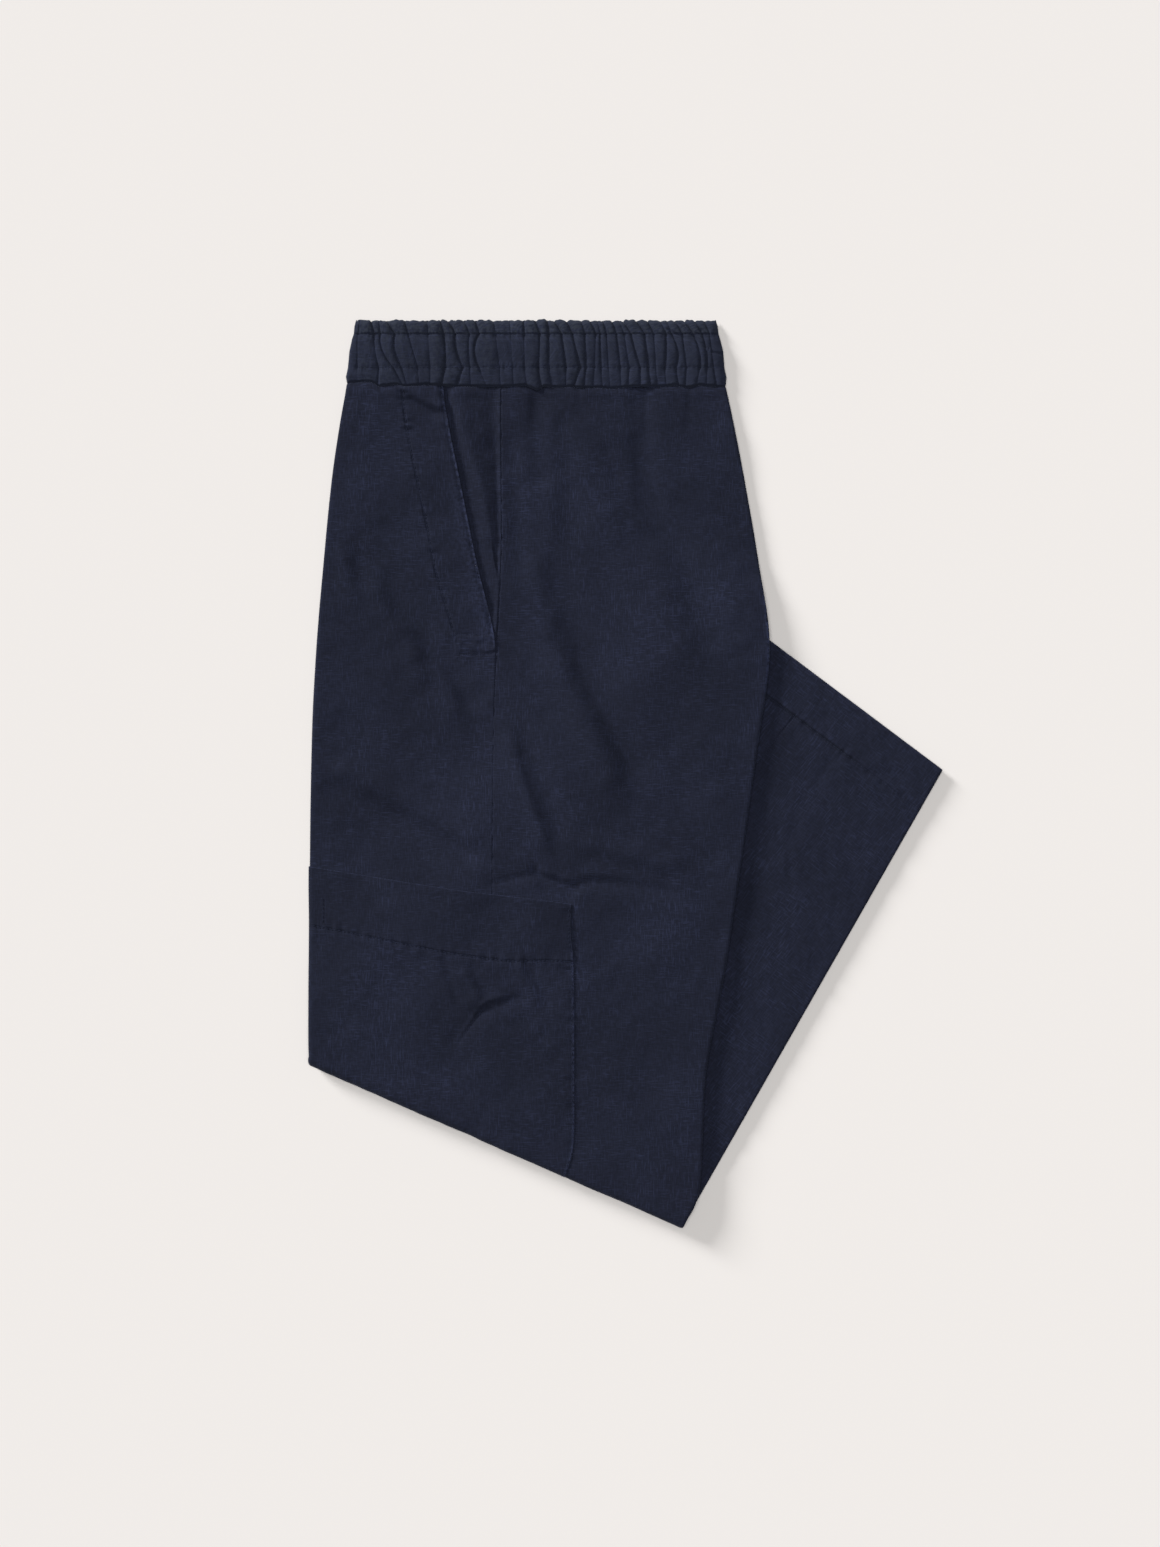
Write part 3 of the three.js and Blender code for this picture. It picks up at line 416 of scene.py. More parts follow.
def left_of(start, end, x, y):
    """Distance of places to the left of a line."""
    dx, dy = end - start
    return (dx * (y - start[1]) - dy * (x - start[0])) / np.hypot(dx, dy)


def rest_height(x, y):
    """Height of what the body lies on: the lower leg, or the floor beside it."""
    past_edge = left_of(KNEE_FRONT, HEM_FRONT, x, y) - LEG_CLEAR / 2
    past_hem = left_of(HEM_FRONT, HEM_BACK, x, y) - LEG_CLEAR
    beside = (1 - smoothstep(past_edge, 0, EDGE_RAMP)) * (1 - smoothstep(past_hem, 0, HEM_RAMP))
    return (STACK + GAP) * beside


def line_distance(points, x, y):
    """How far places are from a line through points, on which side of it, 1 for its left, and how
    far along it in shares."""
    best = np.full(x.shape, np.inf)
    side = np.zeros(x.shape)
    share = np.zeros(x.shape)
    ends = np.array(points, float)
    lengths = np.hypot(*np.diff(ends, axis=0).T)
    start_run = np.concatenate([[0], np.cumsum(lengths)])
    for index, length in enumerate(lengths):
        (ax, ay), (bx, by) = ends[index], ends[index + 1]
        ux, uy = (bx - ax) / length, (by - ay) / length
        run = np.clip((x - ax) * ux + (y - ay) * uy, 0, length)
        distance = np.hypot(x - ax - run * ux, y - ay - run * uy)
        nearer = distance < best
        best = np.where(nearer, distance, best)
        side = np.where(nearer, np.sign(ux * (y - ay) - uy * (x - ax)), side)
        share = np.where(nearer, (start_run[index] + run) / start_run[-1], share)
    return best, side, share


def ripple(x, y, wavelength, seed, waves=20):
    """Smooth unevenness of about unit height and the given wavelength, the same on each run."""
    draw = np.random.default_rng(seed)
    total = np.zeros(x.shape)
    for _ in range(waves):
        angle, phase = draw.uniform(0, 2 * math.pi, 2)
        pitch = 2 * math.pi / (wavelength * draw.uniform(0.6, 1.6))
        total += np.cos(pitch * (x * math.cos(angle) + y * math.sin(angle)) + phase)
    return total / math.sqrt(waves)


def crease_height(creases, x, y):
    """Height that a table of creases gives the cloth."""
    height = np.zeros(x.shape)
    for points, width, start, end, lip in creases:
        distance, side, share = line_distance(points, x, y)
        depth = start + (end - start) * share
        height -= depth * bell(distance, width)
        beside = bell(distance - 1.8 * width, 1.2 * width) * (side * lip > 0)
        height += abs(lip) * depth / max(start, end) * beside
    return height


def soft_line(start, end, width, x, y):
    """How far places are to a line's left, in half widths, and how far the line reaches them."""
    (ax, ay), (bx, by) = start, end
    length = math.hypot(bx - ax, by - ay)
    run = ((x - ax) * (bx - ax) + (y - ay) * (by - ay)) / length
    aside = ((bx - ax) * (y - ay) - (by - ay) * (x - ax)) / length / width
    past = np.maximum(np.maximum(-run, run - length), 0) / width
    return aside, np.exp(-aside ** 2 - past ** 2)


def drop_height(drops, x, y):
    """Height that a table of soft steps gives the cloth."""
    height = np.zeros(x.shape)
    for start, end, width, drop in drops:
        aside, reach = soft_line(start, end, width, x, y)
        height += drop * (0.25 - 2.33 * aside) * reach
    return height


def seam_shift(x, y):
    """How far the waist seam's wave carries a place along Y."""
    wave = np.interp(x, SEAM_WAVE[:, 0], SEAM_WAVE[:, 1]) - SEAM_Y
    return wave * bell(y - SEAM_Y, SEAM_REACH)


def shift_to_seam(points):
    """The points, moved with the waist seam's wave."""
    moved = points.copy()
    moved[..., 1] += seam_shift(points[..., 0], points[..., 1])
    return moved


def cloth_lift(x, y):
    """Height that folds, creases and crumples give the body's cloth."""
    lift = drop_height(DROPS, x, y) + crease_height(CREASES, x, y)
    for start, end, width, height in FOLDS:
        lift += FOLD_GAIN * height * soft_line(start, end, width, x, y)[1]
    for share, wavelength, seed in CRUMPLES:
        lift += share * size("crumple") * ripple(x, y, wavelength, seed)
    room = SHALLOW - DEEPEST
    flattened = SHALLOW - room * (1 - np.exp(np.minimum(lift - SHALLOW, 0) / room))
    return np.where(lift < SHALLOW, flattened, lift)


class Rows:
    """Rows across the body, from the waist down and round the knee fold."""

    def __init__(self, positions, turns=()):
        positions = np.asarray(positions, float)
        self.position = np.concatenate([positions, np.full(len(turns), float(KNEE))])
        self.turn = np.concatenate([np.zeros(len(positions)), np.radians(turns)])
        self.left, self.right = (
            np.stack([along(column, self.position) for column in columns], 1)
            for columns in ((LEFT_X, LEFT_Y), (RIGHT_X, RIGHT_Y)))
        step = self.right - self.left
        self.width = np.hypot(*step.T)
        self.outward = np.stack([step[:, 1], -step[:, 0]], 1) / self.width[:, None]
        middle = (self.left + self.right) / 2
        self.run = np.concatenate([[0], np.cumsum(np.hypot(*np.diff(middle, axis=0).T))])

    def across(self, column):
        """How far across each row the line of a column of shares lies."""
        return along(column, self.position) * self.width

    def plan(self, across):
        share = across / self.width[:, None]
        point = self.left[:, None, :] + (self.right - self.left)[:, None, :] * share[..., None]
        return point[..., 0], point[..., 1]

    def outwards(self, x, y, reach):
        """Places carried out past the knee fold."""
        return x + self.outward[:, None, 0] * reach, y + self.outward[:, None, 1] * reach

    def place(self, across, height):
        """Points at places across and heights above the floor, turned round the fold."""
        turn = self.turn[:, None]
        # The fold's end is a little rounded where it meets the left edge
        x, y = self.plan(across + 1.6 * np.sin(turn) ** 2 * np.exp(-np.maximum(across, 0) / 5))
        # What stands out above the fold's own round can't go through the floor beneath
        above = np.maximum(height - 2 * FOLD_AXIS, 0)
        height = height - above * (1 - np.cos(turn)) / 2
        arm = height - FOLD_AXIS
        x, y = self.outwards(x, y, arm * np.sin(turn))
        z = np.where(turn > 0, FOLD_AXIS + arm * np.cos(turn), height)
        return np.stack([x, y, z], -1)

    def flat(self, across):
        """The same place on the cloth laid flat, for its weave."""
        x, y = self.plan(across)
        return np.stack(self.outwards(x, y, FOLD_AXIS * self.turn[:, None]), -1)


def spaced(spans):
    """Positions down the body at the given spacing, from (start, end, step) in millimetres."""
    fine = np.linspace(0, KNEE, 4001)
    run = Rows(fine).run
    marks = []
    for start, end, step in spans:
        end = min(end, run[-1])
        count = max(1, round((end - start) / step))
        marks.extend(np.linspace(start, end, count, endpoint=False))
    return np.append(np.interp(marks, run, fine), KNEE)


def columns_between(start, end, count):
    """Evenly spaced columns from start to end, one value of each a row."""
    shares = np.linspace(0, 1, count + 1)
    return start[:, None] * (1 - shares) + end[:, None] * shares


def repeated(column, grid):
    """A value of each row, repeated along the rows of a grid."""
    return np.repeat(column[:, None], grid.shape[1], 1)


def round_rim(distance, radius=RIM):
    """Share of its thickness that cloth keeps at a distance from a rounded edge."""
    inside = np.clip(distance / radius, 0, 1)
    return np.sqrt(np.maximum(1 - (1 - inside) ** 2, 0.01))


def edge_roll(rows, on_left, out=0.0, angles=ROLL_ANGLES):
    """Points round a turned edge: places across, heights and lengths of cloth past the flat."""
    across = np.full(len(rows.width), ROLL) if on_left else rows.width - ROLL
    x, y = rows.plan(across[:, None])
    top = panel_top(x, y)
    middle = rest_height(x, y) + STACK / 2
    centre = (top + middle + GAP / 2) / 2
    height = centre + (top - centre + out) * np.sin(angles)
    inward = ROLL - (ROLL + out) * np.cos(angles) + 0 * height
    steps = np.hypot(
        np.diff(inward, axis=1, prepend=ROLL), np.diff(height, axis=1, prepend=top + out))
    flat = ROLL - np.cumsum(steps, 1)
    if on_left:
        return inward, height, flat
    width = rows.width[:, None]
    return width - inward, height, width - flat


def wrapped(rows, on_left, flat_columns, top):
    """A panel with its outer edge turned round the legs and tucked beneath for a few
    millimetres: its columns, its points and the plan of its weave."""
    across, height, flat = edge_roll(rows, on_left)
    level = np.repeat(height[:, -1:], len(TUCK_STEPS), 1)
    inward = ROLL + TUCK_STEPS + 0 * level
    if on_left:
        tucked, beneath = inward, flat[:, -1:] - TUCK_STEPS
    else:
        tucked, beneath = rows.width[:, None] - inward, flat[:, -1:] + TUCK_STEPS
    columns = np.concatenate([flat_columns, across, tucked], 1)
    heights = np.concatenate([top, height, level], 1)
    cloth = rows.flat(np.concatenate([flat_columns, flat, beneath], 1))
    return columns, shift_to_seam(rows.place(columns, heights)), cloth


# ---------------------------------------------------------------- meshes

def raised(points, height):
    """Points of the plan at their heights."""
    return np.concatenate([points, height[..., None]], -1)


def grid_normals(grid):
    """Unit directions out of a grid of points."""
    normal = np.cross(np.gradient(grid, axis=1), np.gradient(grid, axis=0))
    return normal / np.maximum(np.linalg.norm(normal, axis=-1, keepdims=True), 1e-9)


def sheet_quads(rows, columns, ring=False):
    """Faces of a sheet's two sides and its rim, for two grids of points one after the other."""
    index = np.arange(rows * columns).reshape(rows, columns)
    if ring:
        index = np.concatenate([index, index[:, :1]], 1)
    under = index + rows * columns

    def faces(grid):
        corners = (grid[:-1, :-1], grid[1:, :-1], grid[1:, 1:], grid[:-1, 1:])
        return np.stack(corners, -1).reshape(-1, 4)

    parts = [faces(index), faces(under)[:, ::-1]]
    rims = [(index[0], under[0]), (under[-1], index[-1])]
    if not ring:
        rims += [(under[:, 0], index[:, 0]), (index[:, -1], under[:, -1])]
    for first, second in rims:
        parts.append(np.stack([first[:-1], first[1:], second[1:], second[:-1]], -1))
    return np.concatenate(parts)


def outward_quads(points, quads):
    """The faces, turned round if they enclose a negative volume."""
    volume = 0.0
    for corners in ((0, 1, 2), (0, 2, 3)):
        a, b, c = (points[quads[:, corner]] for corner in corners)
        volume += np.einsum("ij,ij->i", a, np.cross(b, c)).sum()
    return quads if volume > 0 else quads[:, ::-1]


def make_piece(name, slot, points, faces):
    """A finished smooth piece from points in plan millimetres, riding on the one body."""
    mesh = bpy.data.meshes.new(name)
    mesh.from_pydata(((points + PLAN_ZERO) * MM).tolist(), [], faces)
    mesh.polygons.foreach_set("use_smooth", np.ones(len(mesh.polygons), bool))
    mesh.update()
    mesh.materials.append(slot_material(slot))
    piece = bpy.data.objects.new(name, mesh)
    bpy.context.scene.collection.objects.link(piece)
    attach(piece, "root")
    return piece


def solid_piece(name, node, slot, upper, lower, flat, wear_and_shade=None, ring=False):
    """A closed piece between an upper and a lower grid, with its weave's plan, wear and painted
    shade.
    """
    points = np.concatenate([upper.reshape(-1, 3), lower.reshape(-1, 3)])
    quads = outward_quads(points, sheet_quads(*upper.shape[:2], ring))
    piece = make_piece(name, slot, points, quads.tolist())
    mesh = piece.data
    corners = np.zeros(len(mesh.loops), int)
    mesh.loops.foreach_get("vertex_index", corners)
    uv = mesh.uv_layers.new(name="cloth")
    both = np.concatenate([flat.reshape(-1, 2)] * 2)
    uv.data.foreach_set("uv", (both * MM)[corners].astype(np.float32).ravel())
    # Above zero these values are lighter edges, below zero painted shade
    worn = np.zeros(upper.shape[:2]) if wear_and_shade is None else wear_and_shade
    attribute = mesh.attributes.new("wear_and_shade", "FLOAT", "POINT")
    attribute.data.foreach_set("value", np.tile(worn.ravel(), 2).astype(np.float32))
    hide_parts(node)


def cloth_piece(name, node, slot, thickness, outer, rim, flat, wear_and_shade=None, plain=None, ring=False):
    """A thin closed sheet of cloth whose outer face is a grid of points.

    rim is the share of its thickness that each point keeps, plain a grid without the fine folds
    that gives the direction of the thickness, and flat the cloth's own plan for the weave.
    """
    if ring:
        normal = grid_normals(np.concatenate([outer[:, -2:], outer, outer[:, :2]], 1))[:, 2:-2]
        outward = np.sum(normal[..., 2] * (outer[..., 2] - outer[..., 2].mean())) >= 0
    else:
        normal = grid_normals(outer if plain is None else plain)
        side = normal[..., 2]
        outward = np.sum(side[np.abs(side) > 0.9]) >= 0
    half = (normal if outward else -normal) * thickness / 2
    centre, kept = outer - half, half * rim[..., None]
    solid_piece(name, node, slot, centre + kept, centre - kept, flat, wear_and_shade, ring)


def sew(thickness, *pieces):
    """Makes sheets of linen: each one's name, the solid it stands for and what builds it."""
    for name, node, build in pieces:
        cloth_piece(name, node, "linen", thickness, *build())
    return {"FINISHED"}


# ---------------------------------------------------------------- materials

def add_node(tree, kind, inputs=None, output=0, **settings):
    """Adds a node with its settings, sets or links its inputs, and gives one of its outputs."""
    node = tree.nodes.new(kind)
    for name, value in settings.items():
        setattr(node, name, value)
    for name, value in (inputs or {}).items():
        if isinstance(value, bpy.types.NodeSocket):
            tree.links.new(value, node.inputs[name])
        else:
            node.inputs[name].default_value = value
    return node.outputs[output] if node.outputs else None


def new_material(name):
    """An empty material, and what adds nodes to it."""
    material = bpy.data.materials.new(name)
    material.use_nodes = True
    material.node_tree.nodes.clear()
    return material, partial(add_node, material.node_tree)


def rgba(colour, share=1.0):
    """A linear colour as a node's input, darkened or brightened to a share."""
    return (*(share * value for value in colour), 1)


def linen(name, navy, slub, worn):
    """Garment-dyed plain-weave linen: matt, with uneven yarns that show as short lighter streaks
    both ways, and a soft bloom where light grazes its fibres."""
    material, add = new_material(name)
    uv = add("ShaderNodeUVMap", uv_map="cloth")
    plan = add("ShaderNodeVectorMath", {0: uv, "Scale": 1 / MM}, operation="SCALE")

    def yarns_of(along_x, along_y, seed, detail=2.0):
        """Noise stretched to yarns: its size in millimetres along and across the cloth."""
        stretched = add("ShaderNodeMapping", {
            "Vector": plan, "Scale": (1 / along_x, 1 / along_y, 1),
            "Location": (seed, seed * 1.7, 0)})
        return add("ShaderNodeTexNoise", {
            "Vector": stretched, "Scale": 1.0, "Detail": detail, "Roughness": 0.55,
        }, noise_dimensions="2D")

    def between(value, low, high, new_low=0.0, new_high=1.0):
        """A value's share of the way from low to high, eased, on its new range."""
        return add("ShaderNodeMapRange", {
            "Value": value, "From Min": low, "From Max": high, "To Min": new_low,
            "To Max": new_high}, interpolation_type="SMOOTHSTEP")

    # A linen yarn is 0.5 mm wide, which is finer than a picture of the whole shows, so the yarns
    # are drawn 0.9 mm wide.
    yarns = add(
        "ShaderNodeMath", {0: yarns_of(5.0, 0.9, 3.1), 1: yarns_of(0.9, 5.0, 7.7)},
        operation="ADD")
    # Slubs of the weft and of the warp, each in patches a few centimetres wide
    weft, warp = (
        add("ShaderNodeMath", {
            0: between(yarns_of(*slub_size, 1.0), 0.54, 0.72),
            1: between(yarns_of(*patch_size), 0.38, 0.66, 0.3, 1.0)}, operation="MULTIPLY")
        for slub_size, patch_size in (
            ((8.0, 0.9, 1.3), (60.0, 30.0, 9.4)), ((0.9, 9.0, 5.9), (26.0, 80.0, 4.6))))
    slubs = add("ShaderNodeMath", {0: weft, 1: warp}, operation="MAXIMUM")
    lighter = add(
        "ShaderNodeMath", {0: slubs, 1: 0.31, 2: between(yarns, 0.7, 1.3, -0.03, 0.13)},
        operation="MULTIPLY_ADD")
    thin_weft, thin_warp = (
        between(yarns_of(*thin_size, 1.0), 0.6, 0.72, 0.0, 0.3)
        for thin_size in ((6.0, 1.0, 12.2), (1.0, 7.0, 15.5)))
    thin = add("ShaderNodeMath", {0: thin_weft, 1: thin_warp}, operation="MAXIMUM")
    # The dye took unevenly over the width of a hand
    dye = between(yarns_of(60.0, 75.0, 2.2), 0.3, 0.7, 0.0, 0.3)
    # Above zero the attribute lightens the cloth along rubbed and folded edges, and below zero it
    # is painted shade, darkening the hem's stitching groove and the knee pocket's hem band
    wear_and_shade = add("ShaderNodeAttribute", output="Fac", attribute_name="wear_and_shade")
    edges, painted_shade = (
        add("ShaderNodeMath", {
            0: add("ShaderNodeMath", {0: wear_and_shade, 1: share}, operation="MULTIPLY"), 1: 0.0,
        }, operation="MAXIMUM")
        for share in (0.5, -0.6))
    rubbed = add(
        "ShaderNodeMath", {0: edges, 1: between(yarns_of(2.5, 2.5, 6.6), 0.35, 0.65)},
        operation="MULTIPLY")
    dark = rgba(navy, 0.5)
    colour = rgba(navy)
    # The last layer is the painted shade, darker where the attribute is below zero
    for share, layer in (
            (lighter, rgba(slub)), (thin, dark), (dye, dark), (rubbed, rgba(worn)),
            (painted_shade, dark)):
        colour = add(
            "ShaderNodeMix", {"Factor": share, 6: colour, 7: layer}, 2, data_type="RGBA")
    height = add("ShaderNodeMath", {0: slubs, 1: 0.8, 2: yarns}, operation="MULTIPLY_ADD")
    bump = add("ShaderNodeBump", {"Strength": 0.17, "Distance": 0.00022, "Height": height})
    shader = add("ShaderNodeBsdfPrincipled", {
        "Base Color": colour, "Normal": bump, "Roughness": 0.9, "Specular IOR Level": 0.12,
        "Sheen Weight": 0.08, "Sheen Roughness": 0.5, "Sheen Tint": (0.55, 0.62, 0.85, 1)})
    add("ShaderNodeOutputMaterial", {"Surface": shader})
    return material


def spun_thread(name, colour):
    """Spun polyester sewing thread: a little smoother and brighter than the linen."""
    material, add = new_material(name)
    place = add("ShaderNodeTexCoord", output="Object")
    # The twist's noise is 0.4 mm wide, about the thread's own width
    twist = add("ShaderNodeTexNoise", {"Vector": place, "Scale": 2500.0, "Detail": 1.0})
    tone = add(
        "ShaderNodeMix", {"Factor": twist, 6: rgba(colour, 0.8), 7: rgba(colour, 1.2)}, 2,
        data_type="RGBA")
    shader = add("ShaderNodeBsdfPrincipled", {
        "Base Color": tone, "Roughness": 0.75, "Specular IOR Level": 0.15})
    add("ShaderNodeOutputMaterial", {"Surface": shader})
    return material


def painted_floor(colour):
    """Matt painted board: even, with no shine."""
    material, add = new_material("Matt painted board")
    shader = add("ShaderNodeBsdfPrincipled", {
        "Base Color": rgba(colour), "Roughness": 1.0, "Specular IOR Level": 0.0})
    add("ShaderNodeOutputMaterial", {"Surface": shader})
    return material


def slot_material(slot):
    """The material of a slot, made when it is first asked for."""
    colours = bpy.context.scene.trousers_colours
    name = MATERIAL_NAMES[slot]
    if name in bpy.data.materials:
        return bpy.data.materials[name]
    if slot == "thread":
        return spun_thread(name, colours.thread)
    if slot == "linen_waistband":
        return linen(name, colours.band, colours.slub, colours.worn)
    return linen(name, colours.navy, colours.slub, colours.slub)


# ---------------------------------------------------------------- body panels

def pucker(run, distance, seed):
    """Small ripples along a seam, which die out a few millimetres from it."""
    return size("pucker") * ripple(run, 0.3 * distance, 6, seed, 16) * bell(distance, 4.5)


def groove(distance, width, depth):
    """A stitched line pressed into the cloth, with the cloth swelling beside it."""
    swell = bell(np.abs(distance) - 2.3 * width, 1.3 * width)
    return -depth * bell(distance, width) + 0.3 * depth * swell


def broken(run, mean, swing, wavelength, seed, least=0.0):
    """Depth of a row of stitches, which shows here and there along its run."""
    return np.maximum(mean + swing * ripple(run, 0 * run, wavelength, seed, 12), least)


def tack_row(x, row):
    """Height along Y of a row of the stitches that close the pocket, which rises at its end."""
    return row + 1.6 * bell(x - TACK_ENDS[1], 4)


def panel_top(x, y):
    """Height of the body panels, with the waist seam's dip and the closed pocket's stitching."""
    depth = SEAM_Y - y
    beneath = np.maximum(depth, 0)
    top = rest_height(x, y) + STACK + cloth_lift(x, y)
    top = top - 0.85 * bell(beneath, 0.7) - 0.3 * bell(beneath, 2.5) + 0.3 * bell(depth - 5, 3)
    start, end = TACK_ENDS
    within = smoothstep(x, start - 2, start) * (1 - smoothstep(x, end, end + 2))
    uneven = np.maximum(0.2 + 0.5 * ripple(x, y, 5, 25, 8), 0)
    uneven += 0.4 * smoothstep(x, end - 9, end - 2)
    for row in TACK_ROWS:
        top += within * groove(y - tack_row(x, row), 0.9, uneven)
    between = (y - tack_row(x, sum(TACK_ROWS) / 2)) / 5.5
    return top + within * (0.45 + 0.3 * ripple(x, y, 6, 26, 8)) * np.exp(-between ** 4)


def seam_proud(run):
    """How far the front stands above the back at the side seam."""
    return np.interp(run, *SEAM_PROUD.T)


def bag_stitch_across(rows):
    """How far across each row the second row of stitches beside the pocket lies."""
    y = along(LEFT_Y, rows.position)
    return np.interp(y, *BAG_STITCH.T) - along(LEFT_X, rows.position)


def build_front_panel():
    rows = Rows(spaced(BODY_SPANS), FOLD_TURNS)
    at_mouth = rows.position < MOUTH_END
    edge = np.where(at_mouth, rows.across(MOUTH), rows.across(SEAM))
    bag = bag_stitch_across(rows)
    flat_columns = np.concatenate([
        edge[:, None] - EDGE_STEPS[:-1],
        columns_between(edge - EDGE_STEPS[-1], bag + 2.0, 13)[:, :-1],
        columns_between(bag + 2.0, bag - 2.0, 10)[:, :-1],
        columns_between(bag - 2.0, np.full(len(edge), ROLL), 34)], 1)
    x, y = rows.plan(flat_columns)
    from_edge = edge[:, None] - flat_columns
    from_bag = flat_columns - bag[:, None]
    run = repeated(rows.run, flat_columns)
    mouth = (1 - smoothstep(rows.position, MOUTH_END - 0.12, MOUTH_END))[:, None]
    bag_shown = (smoothstep(rows.position, 0.0, 0.3)
                 * (1 - smoothstep(rows.position, 3.75, 3.95)))[:, None]
    proud = seam_proud(run) * (1 - mouth)
    top = panel_top(x, y)
    top += 0.6 * proud * bell(from_edge - 1.1, 1.1) + 0.35 * mouth * bell(from_edge, 5.0)
    top += (0.5 * proud + 0.2 * mouth) * bell(from_edge - 4.5, 2.6)
    top += mouth * groove(from_edge - MOUTH_STITCH, 0.7, 0.4)
    top += groove(from_bag, 0.8, broken(run, 0.32, 0.25, 7, 27)) * bag_shown
    top += (0.6 + 0.9 * mouth) * pucker(run, from_edge, 21)
    top += 1.5 * pucker(run, from_bag, 22) * bag_shown
    columns, outer, cloth = wrapped(rows, True, flat_columns, top)
    distance = edge[:, None] - columns
    waist = rows.run[:, None]
    rim = round_rim(distance) * round_rim(waist)
    low_mouth = smoothstep(waist, 40, 90) * (1 - smoothstep(waist, 180, 200)) * mouth
    wear_and_shade = np.maximum(mouth * bell(distance - 0.9, 1.2), 0.45 * low_mouth * bell(distance - 4, 7))
    return outer, rim, cloth, wear_and_shade


def build_back_panel():
    rows = Rows(spaced(BODY_SPANS), FOLD_TURNS)
    edge = rows.across(SEAM) - TUCKED_SEAM
    flat_columns = np.concatenate([
        edge[:, None] + SLOT_STEPS[:-1],
        columns_between(edge + SLOT_STEPS[-1], rows.width - ROLL, 82)], 1)
    x, y = rows.plan(flat_columns)
    from_edge = flat_columns - edge[:, None]
    run = repeated(rows.run, flat_columns)
    slot = 1 - smoothstep(from_edge - TUCKED_SEAM, -0.3, 1.3)
    top = panel_top(x, y) - (0.1 + 1.4 * seam_proud(run)) * slot
    top += 0.6 * pucker(run, from_edge, 23)
    columns, outer, cloth = wrapped(rows, False, flat_columns, top)
    rim = round_rim(columns - edge[:, None], 0.3) * round_rim(rows.run[:, None])
    beside_leg = bell(rows.position[:, None] - 3.85, 0.45)
    wear_and_shade = 2.0 * beside_leg * bell(rows.width[:, None] - columns - 0.9, 1.0)
    return outer, rim, cloth + BACK_CLOTH, wear_and_shade


def build_facing():
    """The side piece behind the slanted pocket, with a fold down its middle."""
    positions = spaced(BODY_SPANS)
    rows = Rows(positions[positions < MOUTH_END - 0.1])
    mouth, seam = rows.across(MOUTH), rows.across(SEAM)
    columns = np.concatenate([
        columns_between(mouth - FACING_UNDER, seam - EDGE_STEPS[-1], 52)[:, :-1],
        seam[:, None] - EDGE_STEPS[::-1]], 1)
    x, y = rows.plan(columns)
    inside = columns - mouth[:, None]
    from_seam = seam[:, None] - columns
    hollow = np.where(inside > 0, bell(np.abs(inside - 1.5), 6.5), 1.0)
    hollow *= np.minimum(1, (seam - mouth)[:, None] / 9) * smoothstep(from_seam, 0, 4)
    run = repeated(rows.run, columns)
    top = panel_top(x, y) - 1.9 * hollow
    top += 0.6 * seam_proud(run) * bell(from_seam - 1.1, 1.1)
    distance, side, _ = line_distance(FACING_RIDGE, x, y)
    right = distance * side
    to_seam = np.clip(right / np.maximum(right + from_seam, 1e-6), 0, 1)
    fold = np.where(
        side > 0, np.interp(to_seam, *FACING_FALL.T), FACING_FALL[0, 1] * bell(right, 3.8))
    top += np.clip((right + from_seam) / 13, 0, 1) * fold * (inside > -2)
    top += 0.6 * pucker(run, from_seam, 24)
    top = np.maximum(top, rest_height(x, y) + LAYERS + 0.25)
    rim = round_rim(from_seam) * round_rim(rows.run[:, None])
    outer = shift_to_seam(rows.place(columns, top))
    return outer, rim, rows.flat(columns) + FACING_CLOTH, np.zeros(rim.shape)


def pocket_shift(share, down, stitch_run):
    """How far the knee pocket's hem wanders along Y from the body's rows."""
    top_edge = 2.8 * smoothstep(share, 0.5, 1.0)
    sewn = 5.2 * smoothstep(share, 0.72, 1.0) - 2.8 * bell(share - 0.55, 0.3)
    near = np.clip(down / stitch_run, 0, 1)
    fade = 1 - smoothstep(down, stitch_run, stitch_run + 45)
    return (top_edge * (1 - near) + sewn * near) * fade


def pocket_runs():
    """Positions down the knee pocket, how far down each lies, and how far its stitching does."""
    fine = np.linspace(POCKET_TOP, KNEE, 2001)
    run = Rows(fine).run
    return fine, run, np.interp(POCKET_STITCH, fine, run)


